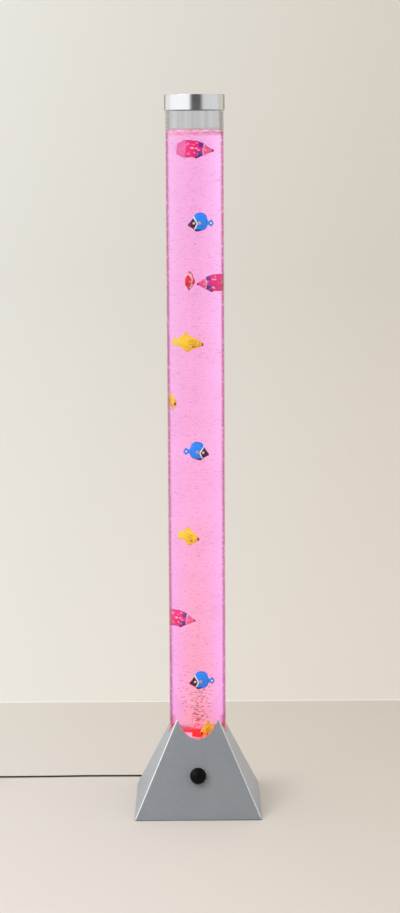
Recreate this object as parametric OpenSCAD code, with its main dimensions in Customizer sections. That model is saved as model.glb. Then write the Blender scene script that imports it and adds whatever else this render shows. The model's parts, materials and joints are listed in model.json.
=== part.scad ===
// Bubble tube floor lamp: a clear water-filled column with floating fish, standing in a pyramid base
// that holds the light, the air pump and the selector. The front faces -Y and the lamp stands on z = 0.

/* [Base] */
// Width of the pyramid base at its rim
base_w = 222; // [200:1:260]
// Height at which the four faces would meet, above the rim
pyramid_h = 240.5; // [225:0.5:280]
// Wall of the shell
shell_t = 2.5; // [1.5:0.1:3.5]
// Radius of the upright edges
corner_r = 2.5; // [1:0.1:5]
// Gap between the tube and the hole that the shell has for it
hole_gap = 2; // [1.8:0.1:3.5]
// Depth of the collar that guides the tube, below the lowest point of the hole's edge
collar_depth = 32; // [20:1:60]
// Thickness of the bottom plate
plate_t = 4; // [3.4:0.1:6]
// Gap all round the bottom plate
plate_gap = 0.3; // [0.1:0.1:0.6]
// How far the screw bosses stand in from the faces at the rim
boss_inset = 21; // [20:1:26]
// Height of the screw bosses in the corners
boss_h = 20; // [14:1:30]
// Diameter of a foot
foot_d = 20; // [12:1:24]
// How far the feet carry the rim above the floor
foot_proud = 1.5; // [1:0.1:4]
// Depth of the pockets that hold the feet
foot_pocket = 1.5; // [0.8:0.1:2]
// How far the feet stand in from the faces at the rim
foot_inset = 38; // [36:1:46]

/* [Tube] */
// Outer diameter of the tube
tube_d = 100; // [98:1:104]
// Wall of the tube
tube_t = 3; // [2:0.1:5]
// Length of the tube
tube_len = 1130; // [900:10:1400]
// Height of the shelf that carries the tube
seat_z = 114.5; // [112:0.5:118]
// Thickness of the cushion ring under the tube
pad_t = 1.5; // [1:0.1:3]
// Thickness of the disc that closes the tube's foot
floor_t = 5; // [3:0.5:8]
// How deep the tube stands in its socket
socket_depth = 12.5; // [8:0.5:13]
// Wall of the socket round the tube
socket_t = 1.5; // [1:0.1:1.7]
// Wall of the pedestal under the tube
pedestal_t = 3; // [2:0.1:4]
// Width of the pedestal's flange
flange_w = 12.5; // [11:0.5:13]
// Thickness of the flange and of the shelf
flange_t = 3; // [2:0.5:4]
// Opening in the shelf for the light
light_d = 84; // [70:1:86]

/* [Cap] */
// Outer diameter of the cap's skirt
cap_d = 104; // [103:0.5:112]
// Height of the cap
cap_h = 26; // [15:1:40]
// Thickness of the cap's top
cap_t = 2.5; // [1:0.1:4]
// Gap between the skirt and the tube
cap_gap = 0.3; // [0.3:0.05:0.6]
// Radius of the cap's upper edge
cap_edge_r = 1; // [0.5:0.1:2]
// Thickness of the sealing ring in the cap
seal_t = 1.5; // [1:0.1:3]

/* [Light] */
// Number of lamps on the light board
led_count = 12; // [6:1:16]
// Diameter of the circle of lamps
led_ring_d = 56; // [46:1:66]
// Diameter of one lamp
led_d = 5; // [3:0.5:5]
// Height of one lamp
led_h = 8.6; // [6:0.1:9]
// Gap between the shelf and the light board
led_board_drop = 7; // [5:0.5:10]
// Thickness of the circuit boards
board_t = 1.6; // [1:0.1:2]

/* [Air] */
// Outer diameter of the air hose
hose_d = 6; // [5:0.1:7]
// Bore of the air hose
hose_bore = 4; // [3:0.1:4.4]
// Length of the air pump
pump_l = 58; // [46:1:66]
// Width of the air pump
pump_w = 38; // [30:1:44]
// Height of the air pump
pump_h = 34; // [26:1:38]
// Height of the pump's rubber mounts
mount_h = 6; // [4:0.5:8]
// Diameter of the air stone
stone_d = 15.5; // [11:0.5:17]
// Height of the air stone
stone_h = 14; // [6:0.5:18]
// Diameter of the nozzle's flange
nozzle_d = 14; // [12.5:0.5:15]
// Diameter of the nozzle's threaded stem
stem_d = 8; // [7:0.5:9]

/* [Selector] */
// Diameter of the knob
knob_d = 28; // [20:0.5:34]
// Height of the knob
knob_h = 16; // [12:0.5:20]
// Height of the knob's middle on the front face, above the floor
knob_z = 70; // [60:1:80]
// Number of grip grooves round the knob
knob_grooves = 24; // [12:1:30]
// Diameter of the shaft
shaft_d = 6; // [4:0.5:6]
// Diameter of the threaded bush round the shaft
bush_d = 9; // [8:0.5:10]
// Width of the switch body
switch_w = 20; // [14:1:24]
// Depth of the switch body
switch_t = 9; // [6:0.5:11]

/* [Cord] */
// Diameter of the cord
cord_d = 3; // [2.6:0.1:3.2]
// Height of the cord's outlet above the floor
outlet_z = 10.5; // [10:0.5:14]
// Length of the sleeve that keeps the cord from kinking
sleeve_l = 22; // [16:1:24]
// Radius of the coil's inner turn
coil_r = 12.8; // [11.5:0.1:13]
// Distance from one turn of the coil to the next
coil_pitch = 3.45; // [3.45:0.01:3.6]
// Turns in each of the coil's four layers
coil_turns = 3; // [1:1:3]
// Length of the power adapter
adapter_l = 62; // [50:1:80]
// Width of the power adapter
adapter_w = 42; // [34:1:50]
// Height of the power adapter
adapter_h = 27; // [26:1:36]
// Distance between the plug pins
pin_gap = 19; // [17:0.5:19]
// Length of a plug pin
pin_l = 19; // [17:0.5:19]

/* [Fish] */
// Length of a fish
fish_len = 40; // [34:1:42]
// Height of a fish over its fins, at its full depth
fish_h = 33; // [26:1:34]
// Greatest thickness of a fish
fish_t = 10; // [6:0.5:11]

/* [Hidden] */
$fn = 64;

// Small distances that several pieces share
run_gap = 0.05;      // between a shaft or spigot and its hole
free_gap = 0.3;      // between pieces that must not rub

// The pyramid
rim_z = foot_proud;
half_base = base_w / 2;
face_tilt = atan2(pyramid_h, half_base);
wall_across = shell_t / sin(face_tilt);
inner_corner_r = max(corner_r - shell_t, 0.4);
function half_w(z) = half_base * (1 - (z - rim_z) / pyramid_h);
function height_at(half) = rim_z + pyramid_h * (1 - half / half_base);
tube_r = tube_d / 2;
hole_r = tube_r + hole_gap;
dip_z = height_at(hole_r);
peak_z = height_at((hole_r - corner_r) / sqrt(2) + corner_r);
cavity_z = height_at(hole_r / sqrt(2));
plate_z = rim_z + plate_t;
boss_r = 5;
boss_at = half_base - boss_inset;
foot_at = half_base - foot_inset;

// Screws: shank, head and depth of the recess for the head
screw_d = 3;
head_d = 6;
head_h = 2.2;
recess_h = 2.4;
screw_l = 14;

// The tube and what carries it
pad_z = seat_z + pad_t;
floor_z = pad_z + floor_t;
tube_top_z = pad_z + tube_len;
bore_r = tube_r - tube_t;
socket_r = hole_r - free_gap;
pedestal_bore_r = socket_r - pedestal_t;
tube_gap = socket_r - socket_t - tube_r;
flange_r = socket_r + flange_w;
flange_screw_r = socket_r + flange_w / 2;
flange_boss_h = 11;
window_w = 16;
window_h = 22;

// The cap
seal_z = tube_top_z;
cap_top_z = seal_z + seal_t + cap_t;
cap_r = cap_d / 2;
skirt_bore_r = tube_r + cap_gap;

// The light
led_board_top = seat_z - flange_t - led_board_drop;
led_board_r = pedestal_bore_r - 1.2;
led_board_hole_r = 8;
led_screw_r = pedestal_bore_r - 3.7;
led_boss_r = 3.7;
led_screw_d = 2.5;

// The air path, on the tube's axis
barb_r = hose_bore / 2 - run_gap;
air_bore_r = 1.2;
mounts_z = plate_z;
pump_z = mounts_z + mount_h;
pump_top = pump_z + pump_h;
nipple_l = 9;
valve_gap = 2;
valve_z = pump_top + 2 * nipple_l + valve_gap;
valve_r = 7;
valve_h = 20;
seal_disc_t = 1;
flange_h = 2;
spigot_r = 2.5;
spigot_h = 5;
nozzle_z = floor_z + seal_disc_t;
nut_h = 4;
nut_af = 13;
stem_z = pad_z - nut_h - 5;
barb_z = stem_z - nipple_l;

// The control board, beside the pedestal on the right
control_l = 52;
standoff_h = 6;
capacitor_h = 9;
control_to_shell = 4.5;
control_z = plate_z + standoff_h;
control_x = flange_r + 2;
control_w = half_w(control_z + board_t + capacitor_h) - wall_across - control_to_shell - control_x;
board_screw_d = 2;
board_screw_in = 4;

// The selector, on an axis square to the front face
washer_t = 0.6;
selector_nut_t = 2.2;
selector_nut_af = 12;
bush_l = shell_t + washer_t + selector_nut_t + 1.5;
shaft_out = 13;
knob_lift = 0.8;
knob_recess_h = 5.4;
knob_cavity_r = 8.6;
knob_dome_h = 5;
knob_roof_t = 2;
flat_depth = 1.2;

// The cord's outlet, in a flat seat on the back face
outlet_r = 4;
seat_r = 7.5;
seat_y = half_w(outlet_z - seat_r) - 0.5;
collar_t = 2;
bushing_out_y = seat_y + collar_t + sleeve_l;

// The cord's route on the floor: out to the back, down, and away to the left
coil_lift = 0.6;
cord_z = cord_d / 2 + 0.1;
coil_z = cord_z + coil_lift;
coil_x = -404;
coil_y = 150 - coil_r - coil_turns * coil_pitch;
coil_start_y = coil_y + coil_r + coil_turns * coil_pitch;
coil_layers = 4;
coil_sides = 6;
cord_sides = 8;
loop_rings = 24;
cord_step = 7;
cord_route = [[0, bushing_out_y, outlet_z], [0, 138, 10.5], [-1, 142, 10], [-4, 147, 8.5],
    [-9, 151, 6.5], [-16, 153, 4.3], [-25, 153.6, 2.6], [-36, 153.6, 1.8], [-50, 153.4, 1.6],
    [-80, 153, 1.6], [-125, 153, 1.6], [-180, 153.6, 1.6], [-217, 153.4, 1.6], [-255, 152, 1.6],
    [-292, 151.3, 1.6], [-330, 150.6, 1.6], [-360, 150.1, 1.7], [-385, 150, 2.1],
    [coil_x + 2 * cord_d, coil_start_y, coil_z], [coil_x + cord_d, coil_start_y, coil_z]];

// The coil: four layers that spiral in and out, each climbing in the half turn where the spiral reverses
all_turns = coil_layers * coil_turns;
function fold(t) = abs((t / coil_turns + 1) % 2 - 1);
function coil_radius(t) = coil_r + coil_turns * coil_pitch * (1 - fold(t));
function climb(u) = u < -0.25 ? 0 : u > 0.25 ? 1 : u * 2 + 0.5;
function coil_level(t) = climb(t - coil_turns) + climb(t - 2 * coil_turns)
    + climb(t - 3 * coil_turns);
function coil_point(t) = [coil_x + coil_radius(t) * cos(90 + 360 * t),
    coil_y + coil_radius(t) * sin(90 + 360 * t), coil_z + coil_pitch * coil_level(t)];
coil_steps = all_turns * loop_rings;
coil_end_z = coil_z + coil_pitch * (coil_layers - 1);
coil_points = concat([[coil_x + cord_d, coil_start_y, coil_z]],
    [for (i = [0:coil_steps]) coil_point(i / loop_rings)],
    [[coil_x - cord_d, coil_start_y, coil_end_z]]);
coil_outer_r = coil_r + coil_turns * coil_pitch + cord_d / 2;

// The power adapter, lying on its lid with the pins up
boot_l = 12;
adapter_cord_z = adapter_h / 2 - 1.5;
adapter_x = -448;
tail_route = [[coil_x - cord_d, coil_start_y, coil_end_z], [coil_x - 2 * cord_d, coil_start_y, coil_end_z],
    [-415, 150, 11.4], [-420, 150, 10.2], [-425, 150, 10], [-430, 150, 10.9],
    [adapter_x + boot_l + cord_d, coil_start_y, adapter_cord_z], [adapter_x + boot_l, coil_start_y, adapter_cord_z]];
pin_d = 4;
sleeve_d = 3.5;
sleeve_share = 10;
lid_h = 9;

// Leads inside the base, from the board's terminals
lead_d = 2.4;
lead_step = 6;
terminal_x = control_x + 1;
terminal_w = 5;
terminal_l = 7;
terminal_up = 2.5;
terminal_ys = [-10.5, 1.5, 13.5];
terminal_z = control_z + board_t + terminal_up;
lead_gap = 0.2;
lead_r = flange_r + 14;
tag_l = 4;
tag_y = switch_w / 2 - 5;
function on_face(x, y, z) = [x, -half_w(knob_z) + y * cos(face_tilt) - z * sin(face_tilt),
    knob_z + y * sin(face_tilt) + z * cos(face_tilt)];

// Smooth routes: a Catmull-Rom curve through hand-placed points
function before(p, i) = i == 0 ? 2 * p[0] - p[1] : p[i - 1];
function after(p, i) = i + 1 < len(p) ? p[i + 1] : 2 * p[len(p) - 1] - p[len(p) - 2];
function blend(a, b, c, d, t) = 0.5 * (2 * b + (c - a) * t + (2 * a - 5 * b + 4 * c - d) * t * t
    + (3 * b - a - 3 * c + d) * t * t * t);
function smooth_route(p, step) = concat([for (i = [0:len(p) - 2])
    let (n = ceil(norm(p[i + 1] - p[i]) / step))
    for (k = [0:n - 1]) blend(before(p, i), p[i], p[i + 1], after(p, i + 1), k / n)],
    [p[len(p) - 1]]);
function path_length(p) = let (d = [for (i = [1:len(p) - 1]) norm(p[i] - p[i - 1])]) d * [for (x = d) 1];

cord_line = smooth_route(cord_route, cord_step);
tail_line = smooth_route(tail_route, 4);
coil_gap = min([for (i = [0:len(coil_points) - 1]) for (j = [i + loop_rings / 2:len(coil_points) - 1])
    norm(coil_points[i] - coil_points[j])]) - cord_d;
echo(coil_gap = coil_gap, cord_length = path_length(cord_line) + path_length(coil_points)
    + path_length(tail_line), cord_rings = len(cord_line));

// ---- Shared shapes ----

// One tube swept along points, its end faces square to the first and last run
module sweep(points, d, sides) {
    n = len(points);
    dirs = [for (i = [0:n - 1]) let (v = points[min(i + 1, n - 1)] - points[max(i - 1, 0)]) v / norm(v)];
    rings = [for (i = [0:n - 1])
        let (across = cross([0, 0, 1], dirs[i]), side = across / norm(across),
            up = cross(dirs[i], side))
        for (k = [0:sides - 1]) let (a = 360 * (k + 0.5) / sides)
            points[i] + d / 2 * (cos(a) * side + sin(a) * up)];
    walls = [for (i = [0:n - 2]) for (k = [0:sides - 1])
        let (a = i * sides + k, b = i * sides + (k + 1) % sides)
        each [[a, a + sides, b + sides], [a, b + sides, b]]];
    polyhedron(rings, concat([[for (k = [0:sides - 1]) k]], walls,
        [[for (k = [sides - 1:-1:0]) (n - 1) * sides + k]]), convexity = 10);
}

// A pyramid with rounded upright edges, as the space that sixteen flat faces enclose
module pyramid(inset, r, z0, z1) {
    intersection_for (a = [0:22.5:157.5]) {
        spread = abs(cos(a)) + abs(sin(a));
        low = (half_w(z0) - inset - r) * spread + r;
        high = (half_w(z1) - inset - r) * spread + r;
        rotate([0, 0, a]) rotate([90, 0, 0])
            linear_extrude(4 * half_base, center = true)
                polygon([[-low, z0], [low, z0], [high, z1], [-high, z1]]);
    }
}

module ring(r_out, r_in, h) {
    difference() {
        cylinder(r = r_out, h = h);
        translate([0, 0, -1]) cylinder(r = r_in, h = h + 2);
    }
}

module at_corners(d) {
    for (x = [-d, d], y = [-d, d]) translate([x, y, 0]) children();
}

module round_box(size, r) {
    linear_extrude(size[2]) {
        for (x = [-1, 1], y = [-1, 1]) translate([x * (size[0] / 2 - r), y * (size[1] / 2 - r)]) circle(r, $fn = 32);
        square([size[0] - 2 * r, size[1]], center = true);
        square([size[0], size[1] - 2 * r], center = true);
    }
}

// A pan-head screw with a cross recess, its head down and its shank up
module screw(d, l, head, h) {
    difference() {
        union() {
            translate([0, 0, -h]) cylinder(d = head, h = h, $fn = 32);
            cylinder(d = d, h = l, $fn = 32);
        }
        for (a = [0, 90]) rotate([0, 0, a]) translate([-head / 4, -head / 16, -h - 1])
            cube([head / 2, head / 8, 1 + h / 2]);
    }
}

module hex(af, h) {
    cylinder(r = af / sqrt(3), h = h, $fn = 6);
}

// Places its children with z square to the front face and z = 0 on the face, behind the knob
module on_front_face() {
    translate([0, -half_w(knob_z), knob_z]) rotate([face_tilt, 0, 0]) children();
}

// Places its children with z along the cord's outlet, and z = 0 on the flat seat
module at_outlet() {
    translate([0, seat_y, outlet_z]) rotate([-90, 0, 0]) children();
}

// ---- The base ----

module corner_bosses() {
    intersection() {
        pyramid(0, corner_r, plate_z, plate_z + boss_h);
        at_corners(boss_at) cylinder(r = boss_r, h = plate_z + boss_h, $fn = 32);
    }
    intersection() {
        pyramid(shell_t / 2, corner_r, plate_z, plate_z + boss_h);
        for (a = [45:90:315]) rotate([0, 0, a]) translate([sqrt(2) * boss_at, -1.5, plate_z])
            cube([base_w, 3, boss_h]);
    }
}

module base_shell() {
    color("silver") difference() {
        union() {
            difference() {
                pyramid(0, corner_r, rim_z, peak_z);
                pyramid(wall_across, inner_corner_r, rim_z - 1, cavity_z);
            }
            intersection() {
                pyramid(0, corner_r, rim_z, peak_z);
                translate([0, 0, dip_z - collar_depth]) cylinder(r = hole_r + shell_t, h = peak_z);
            }
            corner_bosses();
            at_outlet() translate([0, 0, -seat_r]) cylinder(r = seat_r, h = seat_r);
        }
        pyramid(wall_across, inner_corner_r, rim_z - 1, plate_z);
        translate([0, 0, dip_z - collar_depth - 1]) cylinder(r = hole_r, h = peak_z);
        at_corners(boss_at) translate([0, 0, plate_z - 1])
            cylinder(r = screw_d / 2 + run_gap, h = screw_l + 1, $fn = 32);
        on_front_face() translate([0, 0, -2 * shell_t]) cylinder(r = bush_d / 2 + free_gap / 2, h = 4 * shell_t);
        at_outlet() translate([0, 0, -2 * seat_r]) cylinder(r = outlet_r, h = 3 * seat_r);
    }
}

module base_plate() {
    color("dimgray") difference() {
        union() {
            pyramid(wall_across + plate_gap, inner_corner_r, rim_z, plate_z);
            for (x = [board_screw_in, control_w - board_screw_in], y = [-1, 1])
                translate([control_x + x, y * (control_l / 2 - board_screw_in), rim_z])
                    cylinder(d = 6, h = control_z - rim_z, $fn = 32);
        }
        at_corners(foot_at) translate([0, 0, rim_z - 1]) cylinder(d = foot_d + 2 * free_gap, h = 1 + foot_pocket);
        at_corners(boss_at) screw_hole();
        for (a = [45:90:315]) rotate([0, 0, a]) translate([flange_screw_r, 0, 0]) screw_hole();
        for (x = [board_screw_in, control_w - board_screw_in], y = [-1, 1])
            translate([control_x + x, y * (control_l / 2 - board_screw_in), control_z - 7])
                cylinder(r = board_screw_d / 2 + run_gap, h = 8, $fn = 32);
        for (x = [-2:2]) translate([x * 9 - 1.5, -30, rim_z - 1]) cube([3, 60, plate_t + 2]);
    }
}

module screw_hole() {
    translate([0, 0, rim_z - 1]) cylinder(d = head_d + 2 * free_gap, h = 1 + recess_h, $fn = 32);
    translate([0, 0, rim_z]) cylinder(r = screw_d / 2 + free_gap / 2, h = plate_t + 1, $fn = 32);
}

module plate_screws() {
    color("gainsboro") at_corners(boss_at) translate([0, 0, rim_z + recess_h])
        screw(screw_d, screw_l - 1, head_d, head_h);
}

module rubber_feet() {
    h = foot_proud + foot_pocket;
    color("black") at_corners(foot_at) rotate_extrude()
        polygon([[0, 0], [foot_d / 2 - 0.6, 0], [foot_d / 2, 0.6], [foot_d / 2, h], [0, h]]);
}

// ---- The tube and its pedestal ----

module tube_socket() {
    color("dimgray") difference() {
        union() {
            rotate_extrude(angle = 360) polygon([[pedestal_bore_r, plate_z], [flange_r, plate_z],
                [flange_r, plate_z + flange_t], [socket_r, plate_z + flange_t],
                [socket_r, seat_z + socket_depth], [tube_r + tube_gap, seat_z + socket_depth],
                [tube_r + tube_gap, seat_z], [light_d / 2, seat_z], [light_d / 2, seat_z - flange_t],
                [pedestal_bore_r, seat_z - flange_t]]);
            for (a = [45:90:315]) rotate([0, 0, a]) translate([flange_screw_r, 0, plate_z])
                cylinder(r = flange_w / 2 - 1, h = flange_boss_h, $fn = 32);
            for (a = [0:120:240]) rotate([0, 0, a]) intersection() {
                translate([led_screw_r, 0, led_board_top]) cylinder(r = led_boss_r + 1, h = led_board_drop + 1, $fn = 32);
                translate([0, 0, led_board_top]) cylinder(r = socket_r - 1, h = led_board_drop + 1);
            }
        }
        for (a = [45:90:315]) rotate([0, 0, a]) translate([flange_screw_r, 0, plate_z - 1])
            cylinder(r = screw_d / 2 + run_gap, h = flange_boss_h, $fn = 32);
        for (a = [0:120:240]) rotate([0, 0, a]) translate([led_screw_r, 0, led_board_top - 1])
            cylinder(r = led_screw_d / 2 + run_gap, h = 7, $fn = 32);
        for (a = [0, 180]) rotate([0, 0, a]) translate([0, -window_w / 2, plate_z + 2 * flange_t])
            cube([socket_r + 1, window_w, window_h]);
    }
}

module socket_screws() {
    color("gainsboro") for (a = [45:90:315]) rotate([0, 0, a])
        translate([flange_screw_r, 0, rim_z + recess_h]) screw(screw_d, plate_t - recess_h + 9, head_d, head_h);
}

module tube_pad() {
    color("white") translate([0, 0, seat_z]) ring(tube_r - 0.2, light_d / 2 + 1, pad_t);
}

module tube() {
    color("aliceblue", 0.35) translate([0, 0, pad_z]) ring(tube_r, bore_r, tube_len, $fn = 96);
}

module tube_floor() {
    color("pink", 0.5) translate([0, 0, pad_z]) ring(bore_r - run_gap, stem_d / 2 + 0.1, floor_t, $fn = 96);
}

// ---- Air ----

module barbed(r, l) {
    cylinder(r = r - 0.3, h = l, $fn = 32);
    for (z = [0:l / 3:l * 0.7]) translate([0, 0, z + 0.6]) cylinder(r1 = r, r2 = r - 0.3, h = l / 3 - 0.8, $fn = 32);
}

module air_nozzle() {
    color("whitesmoke") difference() {
        union() {
            translate([0, 0, nozzle_z]) cylinder(d = nozzle_d, h = flange_h);
            translate([0, 0, nozzle_z]) cylinder(r = spigot_r, h = flange_h + spigot_h, $fn = 32);
            translate([0, 0, stem_z]) cylinder(d = stem_d, h = nozzle_z - stem_z);
            translate([0, 0, stem_z]) mirror([0, 0, 1]) barbed(barb_r, nipple_l);
        }
        translate([0, 0, barb_z - 1]) cylinder(r = air_bore_r, h = nozzle_z + stone_h - barb_z, $fn = 24);
    }
}

// The porous stone that breaks the air up into small bubbles
module air_stone() {
    z = nozzle_z + flange_h;
    color("tomato") difference() {
        translate([0, 0, z]) rotate_extrude() polygon([[0, 0], [stone_d / 2, 0], [stone_d / 2, stone_h - 1],
            [stone_d / 2 - 1, stone_h], [0, stone_h]]);
        translate([0, 0, z - 1]) cylinder(r = spigot_r + run_gap, h = spigot_h + 1.2, $fn = 32);
    }
}

module nozzle_seal() {
    color("black") translate([0, 0, floor_z]) ring(nozzle_d / 2 - 0.5, stem_d / 2 + 0.1, seal_disc_t);
}

module nozzle_nut() {
    color("whitesmoke") translate([0, 0, pad_z - nut_h]) difference() {
        hex(nut_af, nut_h);
        translate([0, 0, -1]) cylinder(r = stem_d / 2 + run_gap, h = nut_h + 2);
    }
}

module air_hose() {
    color("ghostwhite") {
        translate([0, 0, pump_top]) ring(hose_d / 2, hose_bore / 2, valve_z - pump_top);
        translate([0, 0, valve_z + valve_h]) ring(hose_d / 2, hose_bore / 2, stem_z - valve_z - valve_h);
    }
}

module check_valve() {
    color("lightblue") translate([0, 0, valve_z]) difference() {
        union() {
            rotate_extrude() polygon([[0, 0], [valve_r - 2, 0], [valve_r, 3], [valve_r, valve_h / 2 - 1],
                [valve_r + 1, valve_h / 2 - 1], [valve_r + 1, valve_h / 2 + 1], [valve_r, valve_h / 2 + 1],
                [valve_r, valve_h - 3], [valve_r - 2, valve_h], [0, valve_h]]);
            mirror([0, 0, 1]) barbed(barb_r, nipple_l);
            translate([0, 0, valve_h]) barbed(barb_r, min(nipple_l, (stem_z - valve_z - valve_h) / 2 - 0.5));
        }
        translate([0, 0, -nipple_l - 1]) cylinder(r = air_bore_r, h = valve_h + 2 * nipple_l + 2, $fn = 24);
    }
}

module air_pump() {
    color("darkslategray") difference() {
        union() {
            translate([0, 0, pump_z]) round_box([pump_l, pump_w, pump_h * 0.6], 6);
            translate([0, 0, pump_z + pump_h * 0.6]) round_box([pump_l - 3, pump_w - 3, pump_h * 0.4], 5);
            translate([0, 0, pump_top]) barbed(barb_r, nipple_l);
        }
        for (i = [-3:3]) translate([i * pump_l / 10 - 0.8, -pump_w, pump_z + pump_h * 0.6 + 3])
            cube([1.6, pump_w / 2 + 3, pump_h * 0.4 - 7]);
        translate([0, 0, pump_top - 6]) cylinder(r = air_bore_r, h = nipple_l + 8, $fn = 24);
    }
}

module pump_mounts() {
    color("black") for (x = [-1, 1], y = [-1, 1])
        translate([x * (pump_l / 2 - 8), y * (pump_w / 2 - 8), mounts_z]) rotate_extrude()
            polygon([[0, 0], [5, 0], [5, 1.5], [3.5, 2.2], [3.5, mount_h - 2.2], [5, mount_h - 1.5], [5, mount_h], [0, mount_h]]);
}

// ---- Light ----

module led_board() {
    color("white") translate([0, 0, led_board_top - board_t]) difference() {
        ring(led_board_r, led_board_hole_r, board_t);
        for (a = [0:120:240]) rotate([0, 0, a]) translate([led_screw_r, 0, -1])
            cylinder(r = led_screw_d / 2 + free_gap / 2, h = board_t + 2, $fn = 32);
    }
}

module led_lamps() {
    color("mistyrose") for (i = [0:led_count - 1]) rotate([0, 0, 360 * (i + 0.5) / led_count])
        translate([led_ring_d / 2, 0, led_board_top]) {
            cylinder(d = led_d + 0.8, h = 1, $fn = 24);
            cylinder(d = led_d, h = led_h - led_d / 2, $fn = 24);
            translate([0, 0, led_h - led_d / 2]) sphere(d = led_d, $fn = 24);
        }
}

module led_screws() {
    color("gainsboro") for (a = [0:120:240]) rotate([0, 0, a])
        translate([led_screw_r, 0, led_board_top - board_t]) screw(led_screw_d, board_t + 5, 5, 1.8);
}

// ---- Control ----

module control_board() {
    x0 = control_x;
    z0 = control_z + board_t;
    color("darkgreen") difference() {
        translate([x0, -control_l / 2, control_z]) cube([control_w, control_l, board_t]);
        for (x = [board_screw_in, control_w - board_screw_in], y = [-1, 1])
            translate([x0 + x, y * (control_l / 2 - board_screw_in), control_z - 1])
                cylinder(r = board_screw_d / 2 + free_gap / 2, h = board_t + 2, $fn = 32);
    }
    color("dimgray") translate([x0 + control_w - 11, -5, z0]) cube([10, 10, 1.6]);
    color("navy") for (y = [-13, 13]) translate([x0 + control_w - 8, y, z0])
        cylinder(d = 6.3, h = capacitor_h, $fn = 24);
    color("white") for (y = terminal_ys) translate([terminal_x, y - terminal_l / 2, z0])
        cube([terminal_w, terminal_l, 2 * terminal_up]);
    color("white") translate([x0 + control_w / 2 - 3, -control_l / 2 + 2, z0]) cube([6, 4, 2 * terminal_up]);
    color("black") translate([x0 + control_w / 2 - 2, 17.5, z0]) cube([4, 7.5, 7]);
}

module board_screws() {
    color("gainsboro") for (x = [board_screw_in, control_w - board_screw_in], y = [-1, 1])
        translate([control_x + x, y * (control_l / 2 - board_screw_in), control_z + board_t])
            mirror([0, 0, 1]) screw(board_screw_d, board_t + 6, 4, 1.4);
}

// ---- Selector ----

module selector() {
    color("darkgray") on_front_face() difference() {
        union() {
            translate([0, 0, -shell_t - switch_t]) round_box([switch_w, switch_w, switch_t], 2);
            translate([0, 0, -shell_t]) cylinder(d = bush_d, h = bush_l);
            for (x = [-5, 0, 5]) translate([x - 1, tag_y, -shell_t - switch_t - tag_l]) cube([2, 0.6, tag_l]);
        }
        translate([0, 0, -shell_t - switch_t + 1]) cylinder(r = shaft_d / 2 + run_gap, h = switch_t + bush_l);
    }
}

module selector_nut() {
    color("gainsboro") on_front_face() difference() {
        union() {
            cylinder(d = selector_nut_af + 2, h = washer_t);
            translate([0, 0, washer_t]) hex(selector_nut_af, selector_nut_t);
        }
        translate([0, 0, -1]) cylinder(r = bush_d / 2 + run_gap, h = washer_t + selector_nut_t + 2);
    }
}

module selector_shaft() {
    bottom = -shell_t - switch_t + 1 + run_gap;
    color("gainsboro") on_front_face() difference() {
        translate([0, 0, bottom]) cylinder(d = shaft_d, h = shaft_out - bottom);
        translate([-shaft_d, shaft_d / 2 - flat_depth, knob_recess_h + 1]) cube([2 * shaft_d, shaft_d, shaft_out]);
    }
}

module knob() {
    r = knob_d / 2;
    side_h = knob_h - knob_dome_h;
    dome_r = (r * r + knob_dome_h * knob_dome_h) / (2 * knob_dome_h);
    color([0.08, 0.08, 0.09]) on_front_face() difference() {
        union() {
            translate([0, 0, knob_lift]) cylinder(r1 = r - 0.4, r2 = r, h = 0.8);
            translate([0, 0, knob_lift + 0.8]) cylinder(r = r, h = side_h - knob_lift - 0.8);
            intersection() {
                translate([0, 0, knob_h - dome_r]) sphere(r = dome_r);
                translate([0, 0, side_h]) cylinder(r = r, h = knob_dome_h + 1);
            }
        }
        for (i = [0:knob_grooves - 1]) rotate([0, 0, 360 * i / knob_grooves])
            translate([r + 0.45, 0, -1]) cylinder(r = 0.9, h = side_h + 1.5, $fn = 16);
        translate([0, 0, 0]) cylinder(r = knob_cavity_r, h = knob_recess_h);
        difference() {
            cylinder(r = shaft_d / 2 + run_gap, h = shaft_out + run_gap);
            translate([-shaft_d, shaft_d / 2 - flat_depth + run_gap, knob_recess_h + 1 + run_gap])
                cube([2 * shaft_d, shaft_d, shaft_out]);
        }
    }
}

// ---- The cord's outlet and the leads inside ----

module cable_bushing() {
    color([0.1, 0.1, 0.1]) at_outlet() difference() {
        union() {
            translate([0, 0, -seat_r - 3]) cylinder(r = outlet_r - 0.1, h = seat_r + 3);
            cylinder(r = outlet_r + 1.6, h = collar_t);
            translate([0, 0, collar_t]) cylinder(r1 = outlet_r + 0.6, r2 = cord_d / 2 + 1, h = sleeve_l);
        }
        translate([0, 0, -seat_r - 4]) cylinder(r = cord_d / 2 + run_gap, h = seat_r + sleeve_l + 8);
        for (i = [0:3]) translate([0, 0, collar_t + 3 + i * sleeve_l / 6])
            ring(outlet_r + 2, outlet_r - 0.6 - i * 0.45, 1.2);
    }
}

// The cord's inner end: out of the bushing, round the pedestal and down to the board's terminals
module supply_lead() {
    color([0.1, 0.1, 0.1]) sweep(smooth_route([[0, bushing_out_y, outlet_z], [0, seat_y + 5, outlet_z],
        [0, seat_y - 8, outlet_z], [0, seat_y - 16, outlet_z],
        for (k = [0:4]) let (a = 86 - 14 * k) [lead_r * cos(a), lead_r * sin(a), plate_z + 6 + 2 * k],
        [terminal_x + terminal_w / 2, control_l / 2 + 4, terminal_z + 2],
        [terminal_x + terminal_w / 2, terminal_ys[2] + terminal_l / 2 + 5, terminal_z + 1],
        [terminal_x + terminal_w / 2, terminal_ys[2] + terminal_l / 2 + lead_gap, terminal_z + 1]],
        lead_step), cord_d, cord_sides);
}

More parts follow.
